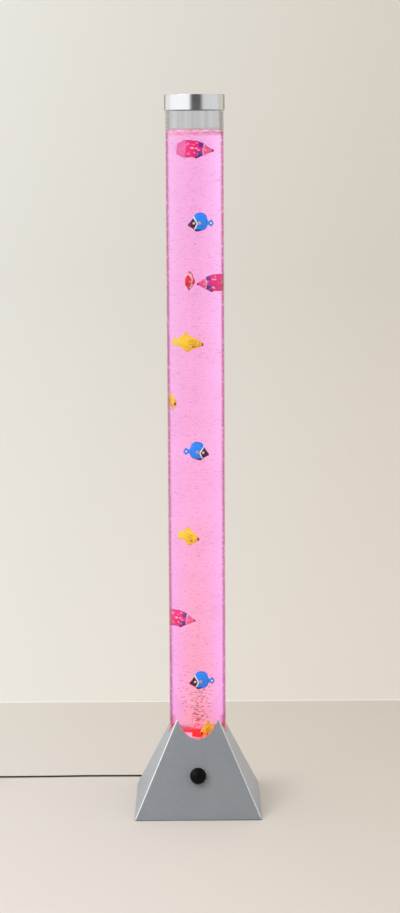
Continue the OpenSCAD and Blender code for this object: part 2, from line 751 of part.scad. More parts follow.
module led_lead() {
    color("firebrick") sweep(smooth_route([[terminal_x - lead_gap, terminal_ys[1], terminal_z],
        [terminal_x - 4, terminal_ys[1], terminal_z], [flange_r - 12, 1, plate_z + 16],
        [pedestal_bore_r - 7, 0, plate_z + 26], [pedestal_bore_r - 11, -6, plate_z + 38],
        [pedestal_bore_r - 11, -14, plate_z + 54], [pedestal_bore_r - 11, -18, led_board_top - 24],
        [pedestal_bore_r - 12, -17, led_board_top - 11],
        [pedestal_bore_r - 12.5, -16.5, led_board_top - board_t - lead_gap]], lead_step), lead_d, 6);
}

module pump_lead() {
    color("royalblue") sweep(smooth_route([[terminal_x - lead_gap, terminal_ys[0], terminal_z],
        [terminal_x - 4, terminal_ys[0], terminal_z], [flange_r - 10, -6, pump_z + 7.5],
        [pedestal_bore_r - 3, -4, pump_z + 10.5], [pedestal_bore_r - 11, -4, pump_z + 11.5],
        [pump_l / 2 + 4, -4, pump_z + 11.5], [pump_l / 2 + lead_gap, -4, pump_z + 11.5]], lead_step),
        lead_d, 6);
}

module selector_lead() {
    tip = -shell_t - switch_t - tag_l - lead_gap;
    x = control_x + control_w / 2;
    y = -control_l / 2 + 2 - lead_gap;
    color("seagreen") sweep(smooth_route([[x, y, terminal_z], [x, y - 5, terminal_z],
        [flange_r + 8, -40, plate_z + 18.5], [flange_r - 4, -54, plate_z + 32.5],
        [flange_r - 22, -62, knob_z - 21], [flange_r - 42, -64, knob_z - 13], [8, -61, knob_z - 8.5],
        on_face(0, tag_y + 0.3, tip - 4), on_face(0, tag_y + 0.3, tip)], lead_step), lead_d, 6);
}

// ---- Cord, coil and adapter ----

module cord() {
    color("black") sweep(cord_line, cord_d, cord_sides);
}

module cord_coil() {
    color("black") sweep(coil_points, cord_d, coil_sides);
}

module cord_tail() {
    color("black") sweep(tail_line, cord_d, cord_sides);
}

// A strap round the coil's bundle, on the side away from the lamp
module cord_tie() {
    strap_w = 7;
    strap_t = 0.5;
    in_r = coil_r - cord_d / 2 - 0.2;
    out_r = coil_outer_r + 0.2;
    top = coil_end_z + cord_d / 2 + 0.2;
    color("dimgray") translate([coil_x, coil_y, 0]) rotate([0, 0, 205]) difference() {
        translate([in_r - strap_t, -strap_w / 2, coil_lift - strap_t])
            cube([out_r - in_r + 2 * strap_t, strap_w, top - coil_lift + 2 * strap_t]);
        translate([in_r, -strap_w, coil_lift]) cube([out_r - in_r, 2 * strap_w, top - coil_lift]);
    }
}

module adapter_place() {
    translate([adapter_x - adapter_l / 2, coil_start_y, 0]) children();
}

module adapter_case() {
    color([0.12, 0.12, 0.12]) adapter_place() difference() {
        union() {
            translate([0, 0, lid_h]) round_box([adapter_l, adapter_w, adapter_h - lid_h - 1.5], 6);
            translate([0, 0, adapter_h - 1.5]) round_box([adapter_l - 3, adapter_w - 3, 1.5], 4.5);
        }
        for (y = [-1, 1]) translate([0, y * pin_gap / 2, adapter_h - 8]) cylinder(r = sleeve_d / 2 + run_gap, h = 9, $fn = 32);
        translate([adapter_l / 2 - 2, 0, adapter_cord_z]) rotate([0, 90, 0]) cylinder(r = 3.05, h = 4, $fn = 32);
    }
}

module adapter_lid() {
    color([0.12, 0.12, 0.12]) adapter_place() difference() {
        union() {
            round_box([adapter_l - 4, adapter_w - 4, lid_h], 4);
            translate([0, 0, 2]) round_box([adapter_l, adapter_w, lid_h - 2], 6);
        }
        for (x = [-2:2]) translate([x * 5 - 1, -adapter_w / 2 + 8, -1]) cube([2, adapter_w - 16, 1.8]);
        translate([adapter_l / 2 - 2, 0, adapter_cord_z]) rotate([0, 90, 0]) cylinder(r = 3.05, h = 4, $fn = 32);
    }
}

module adapter_boot() {
    color([0.12, 0.12, 0.12]) translate([adapter_x - 1.9, coil_start_y, adapter_cord_z]) rotate([0, 90, 0]) difference() {
        union() {
            cylinder(r = 3, h = 2.5, $fn = 32);
            translate([0, 0, 2.5]) cylinder(r1 = 3.6, r2 = cord_d / 2 + 0.8, h = boot_l - 0.6, $fn = 32);
        }
        for (i = [0:2]) translate([0, 0, 4 + i * 3]) ring(6, 2.9 - i * 0.3, 1, $fn = 32);
    }
}

module adapter_pins() {
    color("gainsboro") adapter_place() for (y = [-1, 1]) translate([0, y * pin_gap / 2, 0]) {
        translate([0, 0, adapter_h - 7.9]) cylinder(d = sleeve_d, h = 7.9 + sleeve_share, $fn = 32);
        translate([0, 0, adapter_h + sleeve_share]) cylinder(d = pin_d, h = pin_l - sleeve_share - 1, $fn = 32);
        translate([0, 0, adapter_h + pin_l - 1]) cylinder(r1 = pin_d / 2, r2 = pin_d / 2 - 1, h = 1, $fn = 32);
    }
}

// ---- The cap ----

module cap() {
    color("silver") rotate_extrude($fn = 96) difference() {
        union() {
            translate([0, cap_top_z - cap_h]) square([cap_r, cap_h - cap_edge_r]);
            translate([0, cap_top_z - 2 * cap_edge_r]) square([cap_r - cap_edge_r, 2 * cap_edge_r]);
            translate([cap_r - cap_edge_r, cap_top_z - cap_edge_r]) circle(cap_edge_r, $fn = 32);
        }
        translate([-1, cap_top_z - cap_h - 1]) square([skirt_bore_r + 1, cap_h - cap_t + 1]);
    }
}

module cap_seal() {
    color("white") translate([0, 0, seal_z]) ring(skirt_bore_r - 0.05, bore_r - 3, seal_t);
}

// ---- The fish ----

// Stations from the nose to the tail as shares of half a fish:
// place, back, belly, thickness, top of the upper fin, foot of the lower fin
round_shape = [[1, -0.24, -0.36, 0.16, -0.22, -0.38], [0.84, -0.04, -0.48, 0.5, 0, -0.5],
    [0.64, 0.3, -0.62, 0.75, 0.34, -0.64], [0.56, 0.52, -0.68, 0.85, 0.62, -0.8],
    [0.36, 0.84, -0.76, 1, 0.92, -1], [0.06, 0.92, -0.84, 1, 1, -0.9],
    [-0.22, 0.84, -0.76, 0.85, 0.93, -0.82], [-0.42, 0.6, -0.54, 0.5, 0.72, -0.62],
    [-0.52, 0.12, -0.22, 0.24, 0.2, -0.3], [-0.6, 0.02, -0.2, 0.2, 0.06, -0.26],
    [-0.8, 0.2, -0.4, 0.16, 0.33, -0.5], [-1, -0.06, -0.16, 0.14, 0, -0.22]];
kite_shape = [[1, -0.06, -0.16, 0.12, -0.04, -0.18], [0.8, 0.12, -0.3, 0.4, 0.16, -0.34],
    [0.56, 0.4, -0.5, 0.8, 0.46, -0.56], [0.32, 0.62, -0.66, 1, 0.72, -0.76],
    [0.1, 0.7, -0.72, 1, 0.86, -1], [-0.1, 0.7, -0.72, 1, 0.9, -0.86],
    [-0.36, 0.6, -0.64, 0.8, 0.92, -0.9], [-0.56, 0.42, -0.46, 0.5, 0.92, -0.9],
    [-0.7, 0.3, -0.34, 0.3, 0.9, -0.88], [-0.82, 0.24, -0.28, 0.2, 0.7, -0.72],
    [-0.92, 0.24, -0.28, 0.16, 0.62, -0.66], [-1, 0.2, -0.24, 0.14, 0.56, -0.6]];
long_shape = [[1, -0.1, -0.26, 0.16, -0.08, -0.28], [0.84, 0.06, -0.34, 0.5, 0.1, -0.38],
    [0.6, 0.3, -0.52, 0.85, 0.36, -0.6], [0.34, 0.42, -0.6, 1, 0.48, -0.72],
    [0.1, 0.46, -0.62, 1, 0.7, -0.98], [-0.06, 0.44, -0.6, 0.95, 0.9, -1],
    [-0.24, 0.4, -0.54, 0.8, 1, -0.8], [-0.42, 0.3, -0.42, 0.5, 0.72, -0.58],
    [-0.54, 0.22, -0.32, 0.3, 0.42, -0.46], [-0.7, 0.18, -0.28, 0.2, 0.4, -0.46],
    [-0.88, 0.22, -0.3, 0.16, 0.44, -0.48], [-1, 0.24, -0.3, 0.14, 0.42, -0.46]];
fin_half = 0.5;

// One side of a station, from the upper fin's edge to the lower fin's
function fish_side(s) = let (top = s[1] * fish_h / 2, low = s[2] * fish_h / 2, t = s[3] * fish_t / 2,
    mid = (top + low) / 2, half = (top - low) / 2)
    [[fin_half, s[4] * fish_h / 2], [max(fin_half, 0.42 * t), top], [max(fin_half, 0.85 * t), mid + half * 0.55],
    [max(fin_half, t), mid], [max(fin_half, 0.85 * t), mid - half * 0.55],
    [max(fin_half, 0.42 * t), low], [fin_half, s[5] * fish_h / 2]];

module fish(shape) {
    n = len(shape);
    m = 14;
    points = [for (s = shape) let (side = fish_side(s), x = s[0] * fish_len / 2)
        each concat([for (p = side) [x, p[0], p[1]]], [for (k = [6:-1:0]) [x, -side[k][0], side[k][1]]])];
    walls = [for (i = [0:n - 2]) for (k = [0:m - 1]) let (a = i * m + k, b = i * m + (k + 1) % m)
        each [[a, a + m, b + m], [a, b + m, b]]];
    nose = [for (k = [0:m / 2 - 2]) each [[k, k + 1, m - 2 - k], [k, m - 2 - k, m - 1 - k]]];
    tail = [for (f = nose) [for (k = [2, 1, 0]) (n - 1) * m + f[k]]];
    polyhedron(points, concat(nose, walls, tail), convexity = 6);
}

// Where each fish hangs in the water: its middle in shares of the bore and of the tube's length above
// the floor disc, the way its nose points from +X, and its nose's dip
module swimming(at, heading, dip) {
    translate([at[0] * bore_r, at[1] * bore_r, floor_z + at[2] * tube_len])
        rotate([0, 0, heading]) rotate([0, dip, 0]) children();
}

module blue_fish_1() { color("dodgerblue") swimming([0.198, -0.596, 0.8083], 180, 0) fish(round_shape); }
module blue_fish_2() { color("dodgerblue") swimming([0.006, -0.596, 0.4589], 0, 4) fish(round_shape); }
module blue_fish_3() { color("dodgerblue") swimming([0.153, -0.596, 0.0977], 180, 2) fish(round_shape); }
module pink_fish_1() { color("deeppink") swimming([0.017, 0.532, 0.9177], 0, 3) fish(kite_shape); }
module pink_fish_2() { color("deeppink") swimming([0.457, 0.245, 0.715], 194, 0) fish(kite_shape); }
module pink_fish_3() { color("deeppink") swimming([-0.457, 0.245, 0.1902], -14, 4) fish(kite_shape); }
module yellow_fish_1() { color("gold") swimming([-0.209, 0.106, 0.6244], 0, 4) fish(long_shape); }
module yellow_fish_2() { color("gold") swimming([-0.66, 0.064, 0.533], 268, 0) fish(long_shape); }
module yellow_fish_3() { color("gold") swimming([-0.213, -0.17, 0.3235], -48, 2) fish(long_shape); }
module red_fish() { color("orangered") swimming([-0.16, -0.255, 0.7192], 250, 0) fish(round_shape); }

// This one has sunk to the floor disc and lies against the air stone
module yellow_fish_4() {
    color("orange") swimming([0.266, -0.128, (fish_h / 2 + 0.2) / tube_len], 250, 4) fish(long_shape);
}

base_shell();
base_plate();
plate_screws();
rubber_feet();
tube_socket();
socket_screws();
tube_pad();
tube();
tube_floor();
air_nozzle();
air_stone();
nozzle_seal();
nozzle_nut();
air_hose();
check_valve();
air_pump();
pump_mounts();
led_board();
led_lamps();
led_screws();
control_board();
board_screws();
selector();
selector_nut();
selector_shaft();
knob();
cable_bushing();
supply_lead();
led_lead();
pump_lead();
selector_lead();
cord();
cord_coil();
cord_tail();
cord_tie();
adapter_case();
adapter_lid();
adapter_boot();
adapter_pins();
cap();
cap_seal();
blue_fish_1();
blue_fish_2();
blue_fish_3();
pink_fish_1();
pink_fish_2();
pink_fish_3();
yellow_fish_1();
yellow_fish_2();
yellow_fish_3();
yellow_fish_4();
red_fish();
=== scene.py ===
# %% [markdown]
# # A bubble tube floor lamp
# The lamp is a clear water column on a silver pyramid. Air from a small pump rises through the
# water, toy fish bob in it, and coloured lamps under the column light the water pink. Everything
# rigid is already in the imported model, which this script loads as a fixed frame. What is made
# here is what a solid can't give: the water, the bubbles, the finished fish, the cord as one
# smooth curve, and a material for every surface.

# %% Load the frame
import json
import math
import random
import bpy
import bmesh
from mathutils import Matrix, Vector


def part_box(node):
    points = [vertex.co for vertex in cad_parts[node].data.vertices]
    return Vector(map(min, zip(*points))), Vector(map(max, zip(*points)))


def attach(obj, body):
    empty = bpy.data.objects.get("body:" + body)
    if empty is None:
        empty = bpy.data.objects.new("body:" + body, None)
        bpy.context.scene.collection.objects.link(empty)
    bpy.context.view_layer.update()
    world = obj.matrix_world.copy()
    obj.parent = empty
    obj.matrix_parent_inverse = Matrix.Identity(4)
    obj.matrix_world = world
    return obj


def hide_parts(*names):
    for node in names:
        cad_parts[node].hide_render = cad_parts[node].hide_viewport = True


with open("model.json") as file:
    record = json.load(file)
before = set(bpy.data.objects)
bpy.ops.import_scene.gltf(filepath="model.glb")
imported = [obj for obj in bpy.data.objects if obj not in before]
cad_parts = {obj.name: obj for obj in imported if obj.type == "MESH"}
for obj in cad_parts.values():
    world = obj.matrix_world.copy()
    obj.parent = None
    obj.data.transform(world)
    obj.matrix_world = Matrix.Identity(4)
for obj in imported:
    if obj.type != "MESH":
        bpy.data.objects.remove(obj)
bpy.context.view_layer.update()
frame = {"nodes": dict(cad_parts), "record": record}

MM = 0.001
slot_of = {part["node"]: part["material_slot"] for part in frame["record"]["subparts"]}


def placed(name, data):
    """A new object in the scene, made of this data."""
    made = bpy.data.objects.new(name, data)
    bpy.context.collection.objects.link(made)
    return made


# %% [markdown]
# The camera comes first, because it decides where the cord may lie. Its place was worked out
# from the photograph's own perspective: the column's edges, the base's four corners and the two
# rims of the cap all fall where they should for a lens of about 82 mm, 3.6 m away at chest
# height and tilted a little down.

# %% Camera
camera_data = bpy.data.cameras.new("camera")
camera_data.sensor_width = 36
camera_data.lens = 82.46
camera_data.clip_start, camera_data.clip_end = 0.05, 60
camera = placed("camera", camera_data)
camera_place = (-0.000189, -3.6257, 1.1526)
pitch, yaw, roll = 0.14447, 0.00185, -0.0055
camera.matrix_world = (Matrix.Translation(camera_place)
                       @ Matrix.Rotation(-yaw, 4, "Z")
                       @ Matrix.Rotation(math.pi / 2 - pitch, 4, "X")
                       @ Matrix.Rotation(roll, 4, "Z"))
bpy.context.scene.camera = camera
bpy.context.scene.view_settings.view_transform = "Standard"
print(f"camera {camera_data.lens} mm, {math.degrees(pitch):.1f} degrees down")

# %% [markdown]
# The cord is a thin round lead, 1.8 m long as on such lamps. It leaves the back of the base
# through a tapered bushing, drops to the floor, runs off to the left and is wound into a small
# coil of four layers beside its power adapter. On a real one it is a single piece, so it is one
# curve here. Each point's handles lie along the line between its two neighbours, a sixth of that
# line long, so that the Bezier spline passes smoothly through every point. The bevel gives it a
# round section, and each point's own radius says how thick.

# %% The cord's route, the same points as in the part's source
outlet_z, bushing_out_y = 10.5, 133.8
coil_x, coil_y, coil_r, coil_z = -404, 126.85, 12.8, 2.2
turn_pitch, turns_in_layer, layers, points_in_turn = 3.45, 3, 4, 16

to_coil = [(0, bushing_out_y, outlet_z), (0, 138, 10.5), (-1, 142, 10), (-4, 147, 8.5),
           (-9, 151, 6.5), (-16, 153, 4.3), (-25, 153.6, 2.6), (-36, 153.6, 1.8),
           (-50, 153.4, 1.6), (-80, 153, 1.6), (-125, 153, 1.6), (-180, 153.6, 1.6),
           (-217, 153.4, 1.6), (-255, 152, 1.6), (-292, 151.3, 1.6), (-330, 150.6, 1.6),
           (-360, 150.1, 1.7), (-385, 150, 2.1), (-398, 150, 2.2), (-401, 150, 2.2)]
from_coil = [(-407, 150, 12.55), (-410, 150, 12.55), (-415, 150, 11.4), (-420, 150, 10.2),
             (-425, 150, 10), (-430, 150, 10.9), (-433, 150, 12), (-436, 150, 12)]


def climbed(turns):
    return min(1, max(0, turns * 2 + 0.5))


def coil_point(turns):
    out = 1 - abs((turns / turns_in_layer + 1) % 2 - 1)
    radius = coil_r + turn_pitch * turns_in_layer * out
    level = sum(climbed(turns - turns_in_layer * layer) for layer in range(1, layers))
    angle = math.radians(90 + 360 * turns)
    return (coil_x + radius * math.cos(angle), coil_y + radius * math.sin(angle),
            coil_z + turn_pitch * level)


coil_steps = turns_in_layer * layers * points_in_turn
in_coil = [coil_point(step / points_in_turn) for step in range(coil_steps + 1)]
cord_points = [Vector(p) * MM for p in to_coil + in_coil + from_coil]
cord_length = sum((b - a).length for a, b in zip(cord_points, cord_points[1:]))
print(f"cord through {len(cord_points)} points, {cord_length:.3f} m")

# %% The cord as one curve
CORD_D = 0.003


def smooth_curve(name, points, radius):
    data = bpy.data.curves.new(name, "CURVE")
    data.dimensions = "3D"
    data.bevel_depth = 1.0
    data.bevel_resolution = 3
    data.resolution_u = 4
    data.use_fill_caps = True
    spline = data.splines.new("BEZIER")
    spline.bezier_points.add(len(points) - 1)
    before = [2 * points[0] - points[1]] + points[:-1]
    after = points[1:] + [2 * points[-1] - points[-2]]
    for point, place, last, following in zip(spline.bezier_points, points, before, after):
        reach = (following - last) / 6
        point.handle_left_type = point.handle_right_type = "FREE"
        point.radius = radius
        point.co, point.handle_left, point.handle_right = place, place - reach, place + reach
    return placed(name, data)


cord = smooth_curve("power_cord", cord_points, CORD_D / 2)
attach(cord, "lamp")
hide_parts("cord", "cord_coil", "cord_tail")
print("one open spline, 3 mm thick")

# %% [markdown]
# Materials are shader node trees, and the helpers below keep them short to write. `add` puts a
# node in a tree, `plug` and `feed` wire or set a node's inputs, `group` starts a node group with
# named sockets, and `material` starts a material and sets its Principled shader's own sockets.
# An input that is the same all over the surface is always set on the shader itself. The small
# helpers after them each stand for one node, or a few, that many of the trees need.

# %% Helpers for shader trees
def plug(node, values):
    """Wires or sets the inputs of a node."""
    for key, value in values.items():
        if isinstance(value, bpy.types.NodeSocket):
            node.id_data.links.new(value, node.inputs[key])
        else:
            node.inputs[key].default_value = value


def feed(node, **values):
    """The same with names as keywords, in which an underscore stands for a space."""
    plug(node, {key.replace("_", " "): value for key, value in values.items()})


def add(tree, kind, inputs=None, out=0, **settings):
    made = tree.nodes.new("ShaderNode" + kind)
    for name, value in settings.items():
        setattr(made, name, value)
    plug(made, inputs or {})
    return made.outputs[out]


def group(name, inputs, outputs):
    tree = bpy.data.node_groups.new(name, "ShaderNodeTree")
    for socket, value in inputs.items():
        kind = "NodeSocketColor" if isinstance(value, tuple) else "NodeSocketFloat"
        made = tree.interface.new_socket(socket, in_out="INPUT", socket_type=kind)
        made.default_value = value
    for socket in outputs:
        kind = "NodeSocketColor" if socket == "Color" else "NodeSocketFloat"
        tree.interface.new_socket(socket, in_out="OUTPUT", socket_type=kind)
    return tree, tree.nodes.new("NodeGroupInput").outputs, tree.nodes.new("NodeGroupOutput")


def use(tree, name, **inputs):
    """Puts one of the shared node groups in a material's tree."""
    made = tree.nodes.new("ShaderNodeGroup")
    made.node_tree = bpy.data.node_groups[name]
    feed(made, **inputs)
    return made.outputs


def material(name, base, roughness, **sockets):
    made = bpy.data.materials.new(name)
    made.use_nodes = True
    shader = made.node_tree.nodes["Principled BSDF"]
    feed(shader, Base_Color=base, Roughness=roughness, **sockets)
    return made, made.node_tree, shader


def bumped(shader, height, strength, distance):
    bump = {"Height": height, "Strength": strength, "Distance": distance}
    feed(shader, Normal=add(shader.id_data, "Bump", bump))


# %% Helpers for single nodes
def tree_of(*values):
    """The tree that the sockets among these belong to."""
    return next(value.id_data for value in values if isinstance(value, bpy.types.NodeSocket))


def math_node(operation, first, second=0.0):
    return add(tree_of(first, second), "Math", {0: first, 1: second}, operation=operation)


def times(first, second):
    return math_node("MULTIPLY", first, second)


def plus(first, second):
    return math_node("ADD", first, second)


def minus(first, second):
    return math_node("SUBTRACT", first, second)


def size_of(value):
    return math_node("ABSOLUTE", value)


def scaled(vector, factor):
    return add(tree_of(vector, factor), "VectorMath", {0: vector, "Scale": factor},
               operation="SCALE")


def mixed(factor, first, second):
    return add(tree_of(factor, first, second), "Mix", {0: factor, 6: first, 7: second}, out=2,
               data_type="RGBA")


def span(value, start=0.0, end=1.0, low=0.0, high=1.0):
    """Turns values from start to end into values from low to high, and stops there."""
    return add(value.id_data, "MapRange", {"Value": value, "From Min": start, "From Max": end,
                                           "To Min": low, "To Max": high})


def noise(place, scale, detail):
    return add(place.id_data, "TexNoise", {"Vector": place, "Scale": scale, "Detail": detail})


def own_place(tree):
    """The point in the object's own coordinates, in metres."""
    return add(tree, "TexCoord", out=3)


def axes_of(vector):
    return add(vector.id_data, "SeparateXYZ", {0: vector}).node.outputs


def from_axis(axes):
    """The distance from the column's axis."""
    tree = axes[0].id_data
    flat = add(tree, "CombineXYZ", {0: axes[0], 1: axes[1]})
    return add(tree, "VectorMath", {0: flat}, out=1, operation="LENGTH")


def turned_away(tree):
    """0 where the surface faces the camera, 1 where it is seen edge-on."""
    return add(tree, "LayerWeight", {"Blend": 0.5}, out=1)


def ramp_of(value, stops):
    """A colour ramp with the given stops, each a position and three parts of a colour."""
    shade = add(value.id_data, "ValToRGB", {0: value})
    ramp = shade.node.color_ramp
    for element, (at, tone) in zip(ramp.elements, (stops[0], stops[-1])):
        element.position, element.color = at, (*tone, 1)
    for at, tone in stops[1:-1]:
        ramp.elements.new(at).color = (*tone, 1)
    return shade


# %% Helpers for colours
def grey(value):
    return (value, value, value, 1)


def colour(red, green, blue):
    """A linear colour from its 0 to 255 screen values."""
    def linear(value):
        value /= 255
        return value / 12.92 if value <= 0.04045 else ((value + 0.055) / 1.055) ** 2.4
    return (linear(red), linear(green), linear(blue), 1)


def toned(tone, factor, more=0.0):
    """A colour made lighter or darker."""
    return tuple(min(1, part * factor + more) for part in tone[:3]) + (1,)


# %% [markdown]
# Three effects are shared by many of the lamp's surfaces, so each is a node group.
# *Fine grain* is the small unevenness of moulded plastic, lacquer, rubber and foam: a noise at
# two scales, given as a height for bump and as a colour. *Settled dust* is a pale film on faces
# that look up. *Rubbed edge* finds corners by comparing the true normal with a bevelled one, and
# lightens them in patches, as handling does.

# %% Shared effects
def make_fine_grain():
    tree, given, result = group(
        "fine grain", {"Dark": grey(0.4), "Light": grey(0.6), "Scale": 900.0, "Patchiness": 0.3},
        ["Color", "Height", "Value"])
    place = own_place(tree)
    fine, broad = noise(place, given["Scale"], 4.0), noise(place, 22.0, 3.0)
    both = add(tree, "Mix", {0: given["Patchiness"], 2: fine, 3: broad}, data_type="FLOAT")
    spread = span(both, 0.3, 0.7)
    feed(result, Color=mixed(spread, given["Dark"], given["Light"]), Height=fine, Value=spread)


def make_settled_dust():
    tree, given, result = group(
        "settled dust", {"Color": grey(0.5), "Dust": colour(196, 190, 180), "Amount": 0.15},
        ["Color", "Mask"])
    lying = span(axes_of(add(tree, "NewGeometry", out=1))[2], 0.35, 1.0)
    cloud = span(noise(own_place(tree), 60.0, 6.0), 0.35, 0.7)
    mask = times(times(lying, cloud), given["Amount"])
    feed(result, Color=mixed(mask, given["Color"], given["Dust"]), Mask=mask)


def make_rubbed_edge():
    tree, given, result = group(
        "rubbed edge", {"Color": grey(0.5), "Bare": grey(0.8), "Radius": 0.0008, "Amount": 0.5},
        ["Color", "Mask"])
    rounded = add(tree, "Bevel", {"Radius": given["Radius"]}, samples=4)
    true_normal = add(tree, "NewGeometry", out=1)
    same = add(tree, "VectorMath", {0: rounded, 1: true_normal}, out=1, operation="DOT_PRODUCT")
    edge = span(same, 0.98, 0.8)
    patches = span(noise(own_place(tree), 130.0, 5.0), 0.4, 0.62)
    mask = times(times(edge, patches), given["Amount"])
    feed(result, Color=mixed(mask, given["Color"], given["Bare"]), Mask=mask)


make_fine_grain()
make_settled_dust()
make_rubbed_edge()
print("node groups:", sorted(g.name for g in bpy.data.node_groups))


def moulded(name, dark, light, roughness, scale=900.0, bump=0.25, dust=0.12, wear=0.25,
            **sockets):
    """Plastic, rubber or lacquer: grain, rubbed edges and a little dust."""
    made, tree, shader = material(name, light, roughness, **sockets)
    grain = use(tree, "fine grain", Dark=dark, Light=light, Scale=scale, Patchiness=0.3)
    edge = use(tree, "rubbed edge", Color=grain["Color"], Amount=wear,
               Bare=toned(light, 1.6, 0.02))
    dusty = use(tree, "settled dust", Color=edge["Color"], Amount=dust)
    rough = span(grain["Value"], low=roughness - 0.05, high=roughness + 0.05)
    rough = plus(rough, times(dusty["Mask"], 0.4))
    feed(shader, Base_Color=dusty["Color"], Roughness=rough)
    bumped(shader, grain["Height"], bump, 0.0002)
    return made


# %% [markdown]
# The base is sprayed in a satin silver lacquer. Such a lacquer is a grey binder full of tiny
# metal flakes that lie nearly flat, so it is half a metal: it darkens where it reflects the
# room in front and brightens towards its edges. The flakes are cells of a Voronoi texture,
# each with its own brightness, and the lacquer's slight orange-peel is a broad, low bump. The
# side faces are painted lighter and bluer, as painted light. The four upright edges are rounded
# and catch the light, so a painted white highlight is drawn along them, where the distances
# from the lamp's two middle planes are equal.

# %% Silver lacquer
def silver_lacquer():
    edge_highlight_width, edge_highlight_foot = (0.0012, 0.0005), (0.002, 0.006)
    made, tree, shader = material("silver_lacquer", grey(0.4), 0.42, Coat_Roughness=0.35,
                                  Coat_Weight=0.15)
    place = own_place(tree)
    flakes = add(tree, "TexVoronoi", {"Vector": place, "Scale": 1800.0}, out=1)
    flake = add(tree, "SeparateColor", {0: flakes}, out=0)
    binder = mixed(noise(place, 14.0, 4.0), colour(154, 159, 165), colour(170, 174, 179))
    # Painted light: faces whose normal points along x, the sides, are painted lighter and bluer.
    painted_side_light = size_of(axes_of(add(tree, "TexCoord", out=1))[0])
    binder = mixed(painted_side_light, binder, colour(176, 183, 196))
    lit = scaled(binder, span(flake, low=0.86, high=1.16))
    edge = use(tree, "rubbed edge", Color=lit, Bare=colour(205, 205, 206), Radius=0.001,
               Amount=0.35)
    dusty = use(tree, "settled dust", Color=edge["Color"], Amount=0.1)
    # Painted highlight: a white, non-metallic line along the four upright edges, fading out at
    # the foot.
    axes = axes_of(place)
    apart = minus(size_of(axes[0]), size_of(axes[1]))
    painted_edge_highlight = times(span(size_of(apart), *edge_highlight_width), span(axes[2], *edge_highlight_foot))
    feed(shader, Base_Color=mixed(painted_edge_highlight, dusty["Color"], colour(254, 254, 254)),
         Metallic=span(painted_edge_highlight, low=0.55, high=0.0), Roughness=span(flake, low=0.36, high=0.48))
    peel = plus(noise(place, 420.0, 2.0), times(flake, 0.25))
    bumped(shader, peel, 0.12, 0.0002)
    return made


# %% [markdown]
# The cap is spun and polished sheet metal. Polishing leaves fine lines that run round it, so a
# noise is stretched along the circle: it is read from the angle and the height instead of from
# x, y and z. The lines change the roughness and the bump a little, never the colour much. The
# rim seen edge-on is painted dark and the faces that look down get a painted warm brown, both
# painted reflections.

# %% Spun metal
def spun_metal():
    made, tree, shader = material("spun_metal", colour(222, 222, 226), 0.16, Metallic=1.0)
    place = own_place(tree)
    axes = axes_of(place)
    round_about = times(math_node("ARCTAN2", axes[1], axes[0]), 1.5)
    brushed = add(tree, "CombineXYZ", {0: round_about, 1: times(axes[2], 3000.0),
                                       2: times(from_axis(axes), 3000.0)})
    lines = noise(brushed, 1.0, 3.0)
    shine = mixed(lines, colour(238, 239, 243), colour(250, 251, 253))
    # Painted reflection: where the cap is seen edge-on its colour is painted dark.
    painted_dark_rim = span(turned_away(tree), 0.62, 0.78, high=0.9)
    shine = mixed(painted_dark_rim, shine, grey(0.10))
    # Painted reflection: faces that look down are painted a warm brown.
    painted_underside_reflection = span(axes_of(add(tree, "TexCoord", out=1))[2], -0.3, -0.8)
    feed(shader, Base_Color=mixed(painted_underside_reflection, shine, colour(150, 112, 66)),
         Roughness=span(noise(place, 45.0, 5.0), 0.3, 0.75, 0.1, 0.24))
    bumped(shader, lines, 0.08, 0.00005)
    return made


# %% [markdown]
# Bought metal parts, such as screws and nuts, are zinc plated: bright, faintly blue, with dull
# patches. Painted circuit boards show a cloth weave through their varnish.

# %% Plated metal and circuit board
def plated(name, base, roughness):
    made, tree, shader = material(name, base, roughness, Metallic=1.0)
    grain = use(tree, "fine grain", Dark=toned(base, 0.72), Light=base, Scale=700.0,
                Patchiness=0.5)
    edge = use(tree, "rubbed edge", Color=grain["Color"], Bare=grey(0.9), Radius=0.0004)
    feed(shader, Base_Color=edge["Color"], Roughness=span(grain["Value"], low=roughness * 0.7,
                                                          high=roughness * 1.4))
    bumped(shader, grain["Height"], 0.1, 0.0001)
    return made


def circuit_board(name, base, trace):
    made, tree, shader = material(name, base, 0.35, Coat_Weight=0.3)
    place = own_place(tree)
    weave = add(tree, "TexWave", {"Vector": place, "Scale": 420.0, "Distortion": 0.3})
    tracks = add(tree, "TexBrick", {"Vector": place, "Scale": 95.0, "Color1": base,
                                    "Color2": base, "Mortar": trace, "Mortar Size": 0.05})
    feed(shader, Base_Color=mixed(times(weave, 0.15), tracks, trace))
    bumped(shader, weave, 0.1, 0.0001)
    return made


# %% [markdown]
# Clear parts are glass shaders: transmission 1 with the index of refraction of the real thing,
# 1.49 for acrylic. Round an edge-on wall an acrylic tube looks darker and takes the colour of
# the light inside it, because a ray runs a long way through the wall there. A Layer Weight
# node paints that rim into the glass's colour: painted shade, crimson with the lamps' light.

